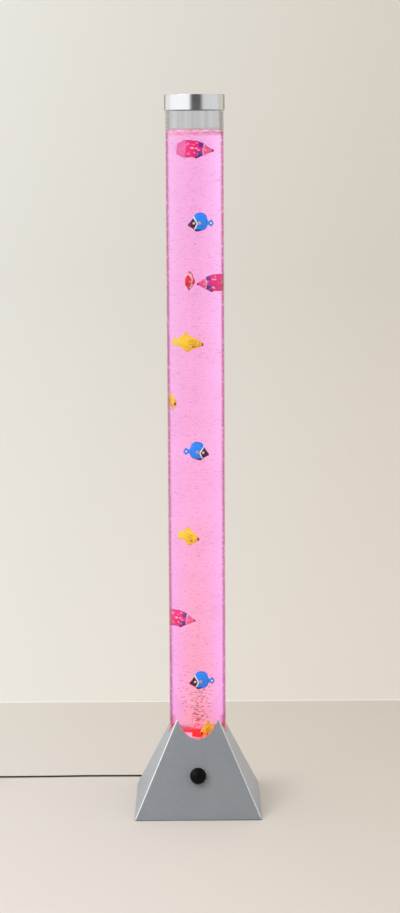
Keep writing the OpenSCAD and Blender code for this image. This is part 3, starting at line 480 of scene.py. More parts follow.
# %% Clear acrylic
def clear_acrylic():
    """Clear walls: faint grey streaks above the water; a painted dark crimson rim beside the lit
    water, a painted dark grey rim above it and a painted crimson glow at the foot.
    """
    clear, painted_dry_rim_shade = grey(0.98), grey(0.36)
    rim, painted_foot_glow = (0.28, 0.015, 0.07, 1), (0.62, 0.10, 0.21, 1)
    water_line, foot_line = (1.184, 1.192), (0.1525, 0.151)
    made, tree, shader = material("clear_acrylic", clear, 0.0, IOR=1.49,
                                  Specular_Tint=(0.45, 0.45, 0.45, 1), Transmission_Weight=1.0)
    place = own_place(tree)
    height, facing = axes_of(place)[2], turned_away(tree)

    def stretched(scale, detail):
        return noise(add(tree, "Mapping", {"Vector": place, "Scale": scale}), 1.0, detail)

    dry = span(height, *water_line)
    streaks = span(stretched((110.0, 110.0, 2.0), 2.0), 0.35, 0.65)
    body = mixed(dry, clear, mixed(streaks, (0.80, 0.83, 0.87, 1), (0.91, 0.93, 0.97, 1)))
    beads = span(stretched((60.0, 60.0, 200.0), 3.0), 0.38, 0.46, 0.65)
    # Painted shade and light: seen edge-on, the wall is painted dark crimson beside the water,
    # dark grey above it.
    edge = times(span(facing, 0.49, 0.65), beads)
    wall = mixed(edge, body, mixed(dry, rim, painted_dry_rim_shade))
    # Painted light: near the column's foot the wall is painted a crimson glow.
    foot = times(span(height, *foot_line), span(facing, 0.2, 0.32))
    feed(shader, Base_Color=mixed(foot, wall, painted_foot_glow))
    bumped(shader, streaks, 0.02, 0.0005)
    return made


def milky(name, base, roughness, glow, strength):
    """A milky plastic or stone that glows: in the lamp resin the lamps' own light, in the stone
    and the tube's floor a painted glow for the lamps' light from below.
    """
    made, tree, shader = material(name, base, roughness, Emission_Strength=strength)
    grain = use(tree, "fine grain", Dark=toned(base, 0.7), Light=base, Scale=500.0,
                Patchiness=0.4)
    feed(shader, Base_Color=grain["Color"], Emission_Color=mixed(grain["Value"],
                                                                 toned(glow, 0.6), glow))
    bumped(shader, grain["Height"], 0.4, 0.0003)
    return made


# %% [markdown]
# The socket that holds the column's foot is a dark plastic ring. Seen through the water, its
# bore is flooded with the red of the lamps under it, so the ring glows where it faces the
# column: an emission that is masked by the distance from the axis and by the height.

# %% The socket's glow
def lit_socket():
    bore, lit_from = (0.0524, 0.0508), (0.110, 0.116)
    made = moulded("socket_plastic", grey(0.03), grey(0.05), 0.5, Emission_Strength=1.5)
    tree = made.node_tree
    place = own_place(tree)
    axes = axes_of(place)
    near = times(span(from_axis(axes), *bore), span(axes[2], *lit_from))
    red = mixed(noise(place, 60.0, 2.0), (0.85, 0.0, 0.03, 1), (1.0, 0.01, 0.09, 1))
    feed(tree.nodes["Principled BSDF"], Emission_Color=mixed(near, grey(0), red))
    return made


# %% Finish every node of the frame by its slot
finishes = {
    "silver_shell": silver_lacquer(),
    "cap_metal": spun_metal(),
    "clear_acrylic": clear_acrylic(),
    # The tube's floor and the air stone are no lamps: their emission is a painted glow for the
    # lamps' light.
    "floor_acrylic": milky("floor_painted_glow", colour(252, 205, 222), 0.25, colour(255, 150, 190), 0.4),
    "porous_stone": milky("stone_painted_glow", colour(200, 4, 12), 0.9, colour(240, 4, 10), 0.6),
    "socket_plastic": lit_socket(),
    "white_board": circuit_board("white_board", colour(236, 238, 234), colour(210, 214, 208)),
    "lamp_clear": milky("lamp_resin", colour(245, 225, 232), 0.15, colour(255, 60, 110), 0.9),
    "green_board": circuit_board("green_board", colour(22, 92, 50), colour(60, 134, 84)),
    "switch_metal": plated("switch_metal", grey(0.5), 0.4),
    "screw_steel": plated("screw_steel", colour(200, 204, 210), 0.3),
    "pin_metal": plated("pin_metal", colour(222, 216, 206), 0.22),
}
for name, dark, light, roughness, more in (
        ("black_plastic", grey(0.028), grey(0.045), 0.55, {}),
        ("black_rubber", grey(0.016), grey(0.028), 0.75, dict(scale=600.0)),
        ("white_foam", colour(214, 208, 196), colour(238, 234, 224), 0.9,
         dict(scale=1300.0, bump=0.6, wear=0.0)),
        ("white_plastic", grey(0.7), grey(0.78), 0.35, {}),
        ("clear_hose", colour(196, 204, 206), colour(226, 230, 230), 0.2,
         dict(bump=0.05, Alpha=0.75)),
        ("valve_plastic", colour(120, 168, 190), colour(150, 196, 214), 0.3, {}),
        ("pump_plastic", grey(0.045), grey(0.07), 0.5, {}),
        ("knob_plastic", grey(0.001), grey(0.003), 0.45,
         dict(bump=0.15, dust=0.0, wear=0.1, Specular_IOR_Level=0.1)),
        ("cord_jacket", grey(0.008), grey(0.014), 0.45, dict(scale=1500.0)),
        ("red_lead", colour(150, 26, 22), colour(190, 40, 34), 0.4, {}),
        ("blue_lead", colour(40, 66, 150), colour(56, 90, 186), 0.4, {}),
        ("green_lead", colour(40, 118, 66), colour(60, 150, 90), 0.4, {}),
        ("tie_strap", grey(0.012), grey(0.05), 0.85, dict(scale=2400.0, bump=0.8)),
        ("adapter_plastic", grey(0.016), grey(0.028), 0.5, {})):
    finishes[name] = moulded(name, dark, light, roughness, **more)
fish_nodes = sorted(name for name in frame["nodes"] if "_fish" in name)
for name, node in frame["nodes"].items():
    if name not in fish_nodes:
        node.data.materials.clear()
        node.data.materials.append(finishes[slot_of[name]])
cord.data.materials.append(finishes["cord_jacket"])
print(f"{len(finishes)} finishes on {len(frame['nodes']) - len(fish_nodes)} nodes")

# %% [markdown]
# The water fills the tube from its floor to about 4 cm below the lip. It is its own closed
# mesh, turned on a lathe in code, and it reaches a hair into the tube's wall: the renderer then
# sees acrylic turn straight into water, without a film of air that would mirror the light.
# Its top is stirred by the bursting bubbles, so the last rings are lifted by a noise made from
# a few waves.

# %% Water
water_floor = 0.1209
water_top = 1.189
water_r = 0.04705


def ripple(x, y):
    """Height of the stirred surface, from five waves that run in different directions."""
    waves = ((310, 120, 0.4), (-190, 260, 1.9), (90, -350, 3.1), (420, 330, 0.9), (-60, 610, 2.2))
    return sum(math.sin(a * x + b * y + c) / (1 + i) for i, (a, b, c) in enumerate(waves))


def polar(radius, angle, height):
    return Vector((radius * math.cos(angle), radius * math.sin(angle), height))


def skin(bm, rows, closed=True):
    """Faces between rows of points, each of which may be one point for a tip."""
    made = []
    for a, b in zip(rows, rows[1:]):
        count = max(len(a), len(b))
        for k in range(count if closed else count - 1):
            n = (k + 1) % count
            corners = (a[k % len(a)], a[n % len(a)], b[n % len(b)], b[k % len(b)])
            made.append(bm.faces.new(list(dict.fromkeys(corners))))
    return made


def lathe(bm, profile, steps):
    """Rings of points from a profile of (radius, height), joined by faces."""
    rings = [[bm.verts.new(polar(radius, 2 * math.pi * k / steps, height))
              for k in range(steps if radius else 1)] for radius, height in profile]
    skin(bm, rings)
    return rings


def mesh_object(name, bm, finishes):
    data = bpy.data.meshes.new(name)
    bm.to_mesh(data)
    bm.free()
    for finish in finishes:
        data.materials.append(finish)
    return placed(name, data)


def finished(name, bm, finishes, body):
    """A smooth mesh with its materials, riding on its body."""
    bmesh.ops.recalc_face_normals(bm, faces=bm.faces)
    for face in bm.faces:
        face.smooth = True
    made = mesh_object(name, bm, finishes)
    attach(made, body)
    return made


def water_with_painted_glow():
    """Water with painted light: a pink tint and glow for the lamps below, peach in the thick
    middle, lilac outside.
    """
    made, tree, shader = material("water_with_painted_glow", colour(255, 190, 235), 0.0, IOR=1.33,
                                  Specular_Tint=(0.5, 0.5, 0.5, 1), Transmission_Weight=1.0,
                                  Emission_Strength=1.0)
    # Painted light: the emission and the tint, red at the very bottom, stand in for the lamps'
    # light.
    leaving = add(tree, "NewGeometry", out=6)
    place = own_place(tree)
    up = span(axes_of(place)[2], water_floor, water_top)
    middle = span(turned_away(tree), 0.13, 0.005)
    red, black = (0.90, 0.10, 0.16), (0.0, 0.0, 0.0)
    tint = ramp_of(up, [(0.0, red), (0.012, (0.45, 0.12, 0.36)), (0.4, (0.45, 0.14, 0.38)),
                        (1.0, (0.50, 0.18, 0.42))])
    warm_tint = ramp_of(up, [(0.0, red), (0.012, (0.45, 0.10, 0.14)), (0.15, (0.45, 0.12, 0.22)),
                             (1.0, (0.45, 0.14, 0.36))])
    glow = ramp_of(up, [(0.0, black), (0.006, black), (0.016, (0.52, 0.20, 0.60)),
                        (0.4, (0.51, 0.22, 0.50)), (1.0, (0.53, 0.29, 0.58))])
    warm_glow = ramp_of(up, [(0.0, black), (0.006, black), (0.016, (0.54, 0.17, 0.25)),
                             (0.12, (0.51, 0.16, 0.28)), (0.4, (0.53, 0.20, 0.42)),
                             (1.0, (0.48, 0.18, 0.43))])
    cloud = span(noise(place, 18.0, 3.0), 0.3, 0.7, 0.92, 1.06)
    shine = scaled(mixed(middle, glow, warm_glow), cloud)
    faint = mixed(0.985, shine, (*black, 1))
    feed(shader, Base_Color=mixed(leaving, (1.0, 0.96, 0.985, 1),
                                  mixed(middle, tint, warm_tint)),
         Emission_Color=mixed(leaving, faint, shine))
    return made


def stir(rings, height):
    for vert in sum(rings, []):
        vert.co.z += height * ripple(vert.co.x, vert.co.y)


bm = bmesh.new()
wall_steps, top_steps = 8, 12
side = [(0, water_floor), (water_r, water_floor)]
side += [(water_r, water_floor + (water_top - water_floor) * k / wall_steps)
         for k in range(1, wall_steps + 1)]
top = [(water_r * k / top_steps, water_top) for k in range(top_steps - 1, -1, -1)]
rings = lathe(bm, side + top, 96)
rim = set(rings[1]) | set(rings[len(side) - 1])
for edge in bm.edges:
    edge.smooth = not (edge.verts[0] in rim and edge.verts[1] in rim)
stir(rings[len(side) - 1:], 0.0009)
water = finished("water", bm, [water_with_painted_glow()], "lamp")
print(f"water {water_top - water_floor:.3f} m deep")

# %% [markdown]
# Glass and water stop lamp light in this renderer unless it traces caustics, which is slow and
# noisy. Switching off their shadows and their part in diffuse light lets the fish and the stone
# be lit as in the real thing, and the camera still sees the bending and the shine.

# %% Let light into the column
for clear in (frame["nodes"]["tube"], water):
    clear.visible_shadow = False
    clear.visible_diffuse = False

# %% [markdown]
# Air leaves the stone as a narrow stream of small bubbles that spreads to the whole bore after
# about 10 cm. Rising bubbles are flattened, like lentils, which is why the camera sees dashes.
# Low in the column they are painted dark against the bright middle, and those just born on the
# stone are painted pale, for the lamps' light. Each is a small sphere squashed and tilted by a
# seeded random number, all in one mesh, and none is put where a fish hangs.

# %% Where the fish hang, from the part's source
BORE_R, FLOOR_Z, TUBE_LEN = 47, 121, 1130
fish_half_h = 16.5
FISH = {
    "blue_fish_1": ("blue", (0.198, -0.596, 0.8083), 180, 0),
    "blue_fish_2": ("blue", (0.006, -0.596, 0.4589), 0, 4),
    "blue_fish_3": ("blue", (0.153, -0.596, 0.0977), 180, 2),
    "pink_fish_1": ("pink", (0.017, 0.532, 0.9177), 0, 3),
    "pink_fish_2": ("pink", (0.457, 0.245, 0.715), 194, 0),
    "pink_fish_3": ("pink", (-0.457, 0.245, 0.1902), -14, 4),
    "yellow_fish_1": ("yellow", (-0.209, 0.106, 0.6244), 0, 4),
    "yellow_fish_2": ("yellow", (-0.66, 0.064, 0.533), 268, 0),
    "yellow_fish_3": ("yellow", (-0.213, -0.17, 0.3235), -48, 2),
    "yellow_fish_4": ("yellow", (0.266, -0.128, (fish_half_h + 0.2) / TUBE_LEN), 250, 4),
    "red_fish": ("red", (-0.16, -0.255, 0.7192), 250, 0),
}


def fish_place(name):
    """The fish's own axes in the lamp's: nose along X, back along Z."""
    _, (x, y, z), heading, dip = FISH[name]
    return (Matrix.Translation(Vector((x * BORE_R, y * BORE_R, FLOOR_Z + z * TUBE_LEN)) * MM)
            @ Matrix.Rotation(math.radians(heading), 4, "Z")
            @ Matrix.Rotation(math.radians(dip), 4, "Y"))


# %% What a bubble looks like
stone_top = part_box("air_stone")[1][2]


def bubble_skin():
    """Air in water mirrors at its rim, here a painted dark ring round a clear middle; the pink is
    painted lamp light.
    """
    made, tree, shader = material("bubble_skin", colour(226, 120, 180), 0.3,
                                  Specular_IOR_Level=0.1)
    facing, place = turned_away(tree), own_place(tree)
    height = axes_of(place)[2]
    # Painted shade: bubbles low in the column are painted dark. Painted light: just above the
    # stone, pale with a red ring.
    low = span(height, 0.26, 0.17)
    painted_light_near_stone = span(height, stone_top + 0.006, stone_top + 0.003)
    middle = mixed(noise(place, 400.0, 2.0), colour(232, 130, 184), colour(255, 196, 226))
    middle = mixed(low, middle, colour(126, 20, 70))
    middle = mixed(painted_light_near_stone, middle, colour(255, 214, 226))
    ring = mixed(low, colour(208, 92, 156), colour(84, 2, 42))
    ring = mixed(painted_light_near_stone, ring, colour(236, 40, 74))
    see = plus(times(facing, 0.55), times(low, 0.4))
    feed(shader, Base_Color=mixed(span(facing, 0.2, 0.75), middle, ring), Alpha=plus(see, 0.1))
    return made


# %% Bubbles
rising, in_foam, on_stone = 2100, 90, 34
stream_share, stream_reach = 0.4, 0.040
spread_over = 0.12
fish_room = (0.022, 0.0075, 0.019)

dice = random.Random(41)
to_fish = [fish_place(name).inverted() for name in FISH]
bm = bmesh.new()
bmesh.ops.create_icosphere(bm, subdivisions=2, radius=1)
sphere_points = [v.co.copy() for v in bm.verts]
sphere_faces = [[v.index for v in face.verts] for face in bm.faces]
bm.free()
bm = bmesh.new()


def blow(place, wide, deep, tall, tilt=0):
    """Adds one flattened bubble to the mesh."""
    turn = Matrix.Rotation(tilt, 3, "X") @ Matrix.Diagonal((wide, deep, tall))
    points = [bm.verts.new(place + turn @ point) for point in sphere_points]
    for face in sphere_faces:
        bm.faces.new([points[k] for k in face])


def clear_of_fish(place):
    for into in to_fish:
        at = into @ place
        if sum((part / room) ** 2 for part, room in zip(at, fish_room)) < 1:
            return False
    return True


made_bubbles = 0
while made_bubbles < rising:
    in_stream = dice.random() < stream_share
    share = dice.random() ** (1.25 if in_stream else 1.0)
    z = stone_top + share * (water_top - stone_top - 0.002)
    grown = min(1, (z - stone_top) / spread_over)
    if in_stream:
        reach = min(stream_reach, abs(dice.gauss(0, 0.004 + 0.014 * grown)))
    else:
        reach = (0.008 + 0.036 * grown) * math.sqrt(dice.random())
    place = polar(reach, dice.uniform(0, 2 * math.pi), z)
    if not clear_of_fish(place):
        continue
    wide = dice.uniform(0.0007, 0.0025)
    tall = dice.uniform(0.0002, 0.00042) + 0.0002 * (1 - grown)
    blow(place, wide, wide * dice.uniform(0.5, 0.8), tall, dice.uniform(-0.15, 0.15))
    made_bubbles += 1
for count, reach, base, heights, widths, flat, near_fish in (
        (in_foam, 0.0455, water_top, (-0.002, -0.007), (0.001, 0.0024), 0.5, False),
        (on_stone, 0.012, stone_top, (0.0004, 0.005), (0.0004, 0.0010), 0.6, True)):
    for k in range(count):
        angle, away = dice.uniform(0, 2 * math.pi), reach * math.sqrt(dice.random())
        place = polar(away, angle, base + dice.uniform(*heights))
        wide = dice.uniform(*widths)
        if not near_fish or clear_of_fish(place):
            blow(place, wide, wide, wide * flat)
bubble_count = len(bm.verts) // len(sphere_points)
bubbles = finished("bubbles", bm, [bubble_skin()], "lamp")
bubbles.visible_shadow = False
print(f"{bubble_count} bubbles")

# %% [markdown]
# Foam lies on the water where the bubbles burst. It is torn, so a noise opens holes in
# its alpha, and it thins out where it climbs the wall. Its pink is painted light from the lamps.

# %% Foam on the water
def froth(name, tint, low_alpha, high_alpha, z_low, z_high):
    made, tree, shader = material(name, tint, 0.9, Specular_IOR_Level=0.0)
    place = own_place(tree)
    thick = span(axes_of(place)[2], z_low, z_high, low_alpha, high_alpha)
    cloud = span(noise(place, 120.0, 4.0), 0.35, 0.65, 0.3, 1.2)
    feed(shader, Alpha=times(thick, cloud), Base_Color=mixed(cloud, tint, toned(tint, 1.15)))
    return made


bm = bmesh.new()
foam_profile = [(0, 0.0006), (0.030, 0.0008), (0.040, 0.0018), (0.0455, 0.0042),
                (0.0469, 0.0058)]
stir(lathe(bm, [(radius, water_top + z) for radius, z in foam_profile], 120), 0.0011)
foam = finished("surface_foam", bm, [froth("surface_foam", colour(255, 196, 214), 0.8, 0.15,
                                          water_top, water_top + 0.006)], "lamp")
bm = bmesh.new()
froth_height, froth_steps = 0.0095, 6
froth_low = water_top - froth_height
lathe(bm, [(water_r - 0.0007, froth_low + froth_height * k / froth_steps)
           for k in range(froth_steps + 1)], 96)
band = finished("surface_froth", bm, [froth("surface_froth", colour(255, 166, 190), 0.0, 0.85,
                                            froth_low, water_top - 0.002)], "lamp")
for piece in (foam, band):
    piece.visible_shadow = False
print("foam and froth")

# %% [markdown]
# The fish are moulded in soft coloured plastic, a little over 4 cm long. The CAD model holds
# their plain solids. Here each is lofted again through the same stations, with a properly round
# body, thin rayed fins that ripple at the edge and domed eyes. The stations
# give, along the fish from nose to tail: its back, belly and thickness, and the fins' edges.

# %% Fish stations
FISH_L, FISH_H, FISH_T = 40, 33, 10
ROUND = [(1, -.24, -.36, .16, -.22, -.38), (.84, -.04, -.48, .5, 0, -.5),
         (.64, .3, -.62, .75, .34, -.64), (.56, .52, -.68, .85, .62, -.8),
         (.36, .84, -.76, 1, .92, -1), (.06, .92, -.84, 1, 1, -.9),
         (-.22, .84, -.76, .85, .93, -.82), (-.42, .6, -.54, .5, .72, -.62),
         (-.52, .12, -.22, .24, .2, -.3), (-.6, .02, -.2, .2, .06, -.26),
         (-.8, .2, -.4, .16, .33, -.5), (-1, -.06, -.16, .14, 0, -.22)]
KITE = [(1, -.06, -.16, .12, -.04, -.18), (.8, .12, -.3, .4, .16, -.34),
        (.56, .4, -.5, .8, .46, -.56), (.32, .62, -.66, 1, .72, -.76),
        (.1, .7, -.72, 1, .86, -1), (-.1, .7, -.72, 1, .9, -.86),
        (-.36, .6, -.64, .8, .92, -.9), (-.56, .42, -.46, .5, .92, -.9),
        (-.7, .3, -.34, .3, .9, -.88), (-.82, .24, -.28, .2, .7, -.72),
        (-.92, .24, -.28, .16, .62, -.66), (-1, .2, -.24, .14, .56, -.6)]
LONG = [(1, -.1, -.26, .16, -.08, -.28), (.84, .06, -.34, .5, .1, -.38),
        (.6, .3, -.52, .85, .36, -.6), (.34, .42, -.6, 1, .48, -.72),
        (.1, .46, -.62, 1, .7, -.98), (-.06, .44, -.6, .95, .9, -1),
        (-.24, .4, -.54, .8, 1, -.8), (-.42, .3, -.42, .5, .72, -.58),
        (-.54, .22, -.32, .3, .42, -.46), (-.7, .18, -.28, .2, .4, -.46),
        (-.88, .22, -.3, .16, .44, -.48), (-1, .24, -.3, .14, .42, -.46)]
SHAPES = {"blue": ROUND, "red": ROUND, "pink": KITE, "yellow": LONG}


def between(stations, x):
    """The station at x, by a smooth step between the two nearest."""
    for a, b in zip(stations, stations[1:]):
        if b[0] <= x <= a[0]:
            t = (a[0] - x) / (a[0] - b[0])
            return [p + (q - p) * t for p, q in zip(a, b)]
    return list(stations[-1])


# %% Loft one fish
def half_section(x, back, belly, thick, fin_up, fin_low):
    """One side of the fish at x, from the upper fin's edge to the lower fin's, in mm."""
    top, low = back * FISH_H / 2, belly * FISH_H / 2
    middle, half, wide = (top + low) / 2, (top - low) / 2, thick * FISH_T / 2

    def fin(edge, root, reach):
        ripple_in = 1 - 0.035 * (0.5 + 0.5 * math.cos(x * 5.2)) * (reach > 0.1)
        edge = edge * FISH_H / 2 * ripple_in
        return [(thin, edge + (root - edge) * down)
                for thin, down in ((0.22, 0), (0.34, 0.5), (0.5, 0.9))]

    flank = [(max(0.5, wide * math.cos(a)), middle + half * math.sin(a))
             for a in map(math.radians, (66, 50, 34, 17, 0, -17, -34, -50, -66))]
    return fin(fin_up, top, fin_up - back) + flank + fin(fin_low, low, belly - fin_low)[::-1]


def loft_fish(bm, stations):
    rings = []
    count = 46
    for i in range(count + 1):
        x = 1 - 2 * i / count
        x_mm = x * FISH_L / 2
        side = half_section(x_mm, *between(stations, x)[1:])
        ring = [(x_mm, y, z) for y, z in side] + [(x_mm, -y, z) for y, z in reversed(side)]
        rings.append([bm.verts.new(Vector(p) * MM) for p in ring])
    skin(bm, rings)
    bm.faces.new(rings[0])
    bm.faces.new(list(reversed(rings[-1])))


def dome(bm, centre, radius, height, side, index):
    """A low dome on the fish's side: the eye's white, or the pupil on it."""
    steps, levels = 20, 4
    x, y, z = centre
    rings = []
    for level in range(levels + 1):
        a = math.pi / 2 * level / levels
        r, h = (radius * math.cos(a), height * math.sin(a)) if level < levels else (0, height)
        turns = [2 * math.pi * k / steps for k in range(steps if level < levels else 1)]
        rings.append([bm.verts.new(Vector((x + r * math.cos(turn), side * (y + h),
                                           z + r * math.sin(turn))) * MM) for turn in turns])
    for face in skin(bm, rings) + [bm.faces.new(list(reversed(rings[0])))]:
        face.material_index = index


def side_fin(bm, root, length, width, side, index):
    """A small fan-shaped fin that stands a little off the fish's flank."""
    along, across, thick = 5, 6, 0.28
    rows = []
    for i in range(along + 1):
        u = i / along
        row = []
        for j in range(across + 1):
            v = j / across - 0.5
            spread = width * (0.35 + 0.65 * math.sin(math.pi * (0.15 + 0.6 * u)))
            x = root[0] - length * u * (1 - 0.25 * abs(v) * 2)
            z = root[2] + v * spread - 0.12 * length * u
            y = root[1] + 0.9 * math.sin(u * math.pi * 0.55) + 0.08 * math.sin(j * 3.1)
            row.append((x, y, z))
        rows.append(row)
    skins = [[[bm.verts.new(Vector((x, side * (y + lift * (1 - 0.6 * i / along)), z)) * MM)
               for x, y, z in row] for i, row in enumerate(rows)] for lift in (0.0, thick)]
    faces = [face for rows in skins for face in skin(bm, rows, closed=False)]
    rim = [(0, j) for j in range(across + 1)] + [(i, across) for i in range(1, along + 1)]
    rim += [(along, j) for j in range(across - 1, -1, -1)]
    rim += [(i, 0) for i in range(along - 1, 0, -1)]
    for a, b in zip(rim, rim[1:] + rim[:1]):
        faces.append(bm.faces.new((skins[0][a[0]][a[1]], skins[0][b[0]][b[1]],
                                   skins[1][b[0]][b[1]], skins[1][a[0]][a[1]])))
    for face in faces:
        face.material_index = index


# %% [markdown]
# The fish are painted in flat areas that meet in curves, then shaded by their scales and fin
# rays. One node group paints all of them: it reads the fish's own coordinates, draws a head
# region, a pale collar behind it, up to two bands and the fins, and is given other colours and
# places for each kind. The colours are generic ones for toy fish of this sort.

# %% Paint for the fish
def make_fish_paint():
    tree, given, result = group(
        "fish paint",
        {"Body": grey(0.5), "Head": grey(0.5), "Collar": grey(1), "Band": grey(0.1),
         "Fin": grey(0.3), "Tail": grey(0.3), "Spot": grey(0.3), "Lower Fin": grey(0.3),
         "Nose": grey(0.3), "Blotch": grey(0.9), "Head From": 7.0, "Head Slope": 0.4,
         "Collar Width": 1.5, "Band At": 0.0, "Band Width": 0.0, "Band Open": 0.0,
         "Stripes": 0.0, "Blotches": 0.0, "Fin From": 14.0}, ["Color", "Height"])
    place = own_place(tree)
    axes = axes_of(scaled(place, 1000.0))
    x, z = axes[0], axes[2]
    tall = size_of(z)
    nose_from, fins_end, tail_from, lower_fin_from = 18.2, 12.0, -10.6, -12.4
    spot_at, spot_r = (-15.8, 0.0, -1.7), 1.5

    def step(value, edge, soft=0.4):
        if isinstance(edge, float):
            return span(value, edge - soft, edge + soft)
        return span(value, minus(edge, soft), plus(edge, soft))

    def less(value, edge, soft=0.4):
        return minus(1.0, step(value, edge, soft))

    def smooth_cells(**inputs):
        return add(tree, "TexVoronoi", {"Vector": place, **inputs}, feature="SMOOTH_F1")

    wobble = times(minus(noise(place, 260.0, 2.0), 0.5), 1.6)
    curved = minus(x, times(size_of(plus(z, 2.8)), given["Head Slope"]))
    curved = plus(curved, wobble)
    patches = span(smooth_cells(Scale=210.0, Randomness=0.9), 0.32, 0.2)
    lines = span(math_node("SINE", plus(times(z, 1.9), times(x, 0.25))), 0.45, 0.85)
    forward = times(step(x, 0.5, 2.0), less(x, fins_end, 2.0))
    lines = times(times(lines, forward), times(less(z, 6.0), step(z, -4.5)))
    band = times(less(size_of(minus(curved, given["Band At"])), given["Band Width"]),
                 math_node("GREATER_THAN", given["Band Width"], 0.1))
    rays = math_node("SINE", times(x, 3.6))
    ray_shade = span(rays, start=-1.0, low=0.8)
    spot = add(tree, "VectorMath", {0: add(tree, "CombineXYZ", {0: x, 2: z}),
                                    1: spot_at}, out=1, operation="DISTANCE")
    lower = times(less(z, lower_fin_from, 0.6), times(step(x, 0.5, 0.8), less(x, fins_end)))

    paint = mixed(span(noise(place, 230.0, 3.0), 0.4, 0.8, high=0.2), given["Body"], given["Fin"])
    for where, tone in (
            (times(patches, given["Blotches"]), "Blotch"),
            (times(lines, given["Stripes"]), "Band"),
            (times(band, step(tall, given["Band Open"], 1.0)), "Band"),
            (times(step(tall, given["Fin From"], 0.8), less(x, fins_end)), "Fin"),
            (step(curved, minus(given["Head From"], given["Collar Width"]), 0.3), "Collar"),
            (step(curved, given["Head From"], 0.3), "Head"),
            (step(x, nose_from), "Nose"),
            (lower, "Lower Fin"),
            (less(x, tail_from, 0.6), "Tail"),
            (less(spot, spot_r), "Spot")):
        rayed = tone in ("Fin", "Lower Fin", "Tail")
        paint = mixed(where, paint, scaled(given[tone], ray_shade) if rayed else given[tone])
    feed(result, Color=paint,
         Height=plus(times(smooth_cells(Scale=620.0), 0.7), times(rays, 0.25)))


def fish_plastic(name, **paint):
    """The paint's colours are given as 0 to 255 screen values."""
    paint = {key: colour(*value) if isinstance(value, tuple) else value
             for key, value in paint.items()}
    made, tree, shader = material(name, paint["Body"], 0.45, Specular_IOR_Level=0.08)
    result = use(tree, "fish paint", **paint)
    feed(shader, Base_Color=result["Color"])
    bumped(shader, result["Height"], 0.35, 0.0003)
    return made


make_fish_paint()
eye_white = moulded("eye_white", grey(0.85), grey(0.95), 0.2, bump=0.05, dust=0.0, wear=0.0)
eye_black = moulded("eye_black", grey(0.006), grey(0.014), 0.12, bump=0.05, dust=0.0, wear=0.0)
fish_finish = {
    "blue": fish_plastic("blue_fish", Body=(0, 138, 255), Head=(70, 0, 26),
                         Collar=(250, 250, 252), Band=(8, 110, 230), Fin=(6, 118, 240),
                         Tail=(10, 140, 255), Spot=(250, 250, 255), Lower_Fin=(14, 18, 84),
                         Nose=(80, 4, 30), Head_From=6.6, Head_Slope=0.48, Collar_Width=2.0),
    "red": fish_plastic("red_fish", Body=(240, 6, 10), Head=(236, 20, 30),
                        Collar=(255, 246, 248), Band=(255, 240, 244), Fin=(220, 10, 24),
                        Tail=(240, 60, 60), Spot=(240, 60, 60), Lower_Fin=(170, 6, 30),
                        Nose=(160, 6, 26), Head_From=7.0, Head_Slope=0.2, Collar_Width=2.2,
                        Band_At=1.8, Band_Width=1.3),
    "pink": fish_plastic("pink_fish", Body=(246, 12, 122), Head=(252, 96, 158),
                         Collar=(250, 214, 236), Band=(84, 50, 160), Fin=(216, 6, 100),
                         Tail=(252, 120, 190), Spot=(252, 120, 190), Lower_Fin=(74, 14, 110),
                         Nose=(120, 12, 50), Blotch=(255, 214, 234), Head_From=9.0,
                         Head_Slope=0.1, Collar_Width=0.7, Band_At=5.2, Band_Width=2.4,
                         Band_Open=3.5, Blotches=0.85, Fin_From=13.6),
    "yellow": fish_plastic("yellow_fish", Body=(255, 204, 4), Head=(252, 178, 6),
                           Collar=(255, 206, 20), Band=(150, 64, 6), Fin=(246, 190, 10),
                           Tail=(255, 224, 80), Spot=(255, 224, 80), Lower_Fin=(250, 184, 10),
                           Nose=(60, 12, 8), Head_From=13.0, Head_Slope=0.1, Stripes=0.9),
}
side_finish = {kind: moulded(kind + "_side_fin", colour(*dark), colour(*light), 0.35, dust=0.0)
               for kind, dark, light in (("blue", (176, 150, 100), (204, 178, 124)),
                                         ("red", (200, 20, 30), (230, 50, 50)),
                                         ("pink", (80, 30, 150), (110, 50, 180)),
                                         ("yellow", (120, 50, 10), (170, 80, 16)))}
print("kinds of fish:", sorted(fish_finish))

# %% [markdown]
# Each kind has its eyes and side fins in its own place, given as x and z in millimetres from
# the fish's middle with the eye's radius, then the fin's root, length and width.

# %% Make the fish
FACES = {"blue": ((10.8, -1.8, 2.0), (4.0, -1.2, 5.0, 5.6)),
         "red": ((11.6, -1.0, 1.7), (4.5, -3.0, 5.5, 4.5)),
         "pink": ((11.2, -1.4, 1.1), (5.5, -4.5, 5.0, 3.4)),
         "yellow": ((13.4, -0.6, 1.1), (9.6, -6.4, 4.4, 3.0))}


def thickness_at(stations, x, z):
    """How far the flank stands from the middle plane, in mm."""
    _, back, belly, thick, *_ = between(stations, x / (FISH_L / 2))
    middle, half = (back + belly) * FISH_H / 4, (back - belly) * FISH_H / 4
    return thick * FISH_T / 2 * math.sqrt(max(0.05, 1 - ((z - middle) / half) ** 2))


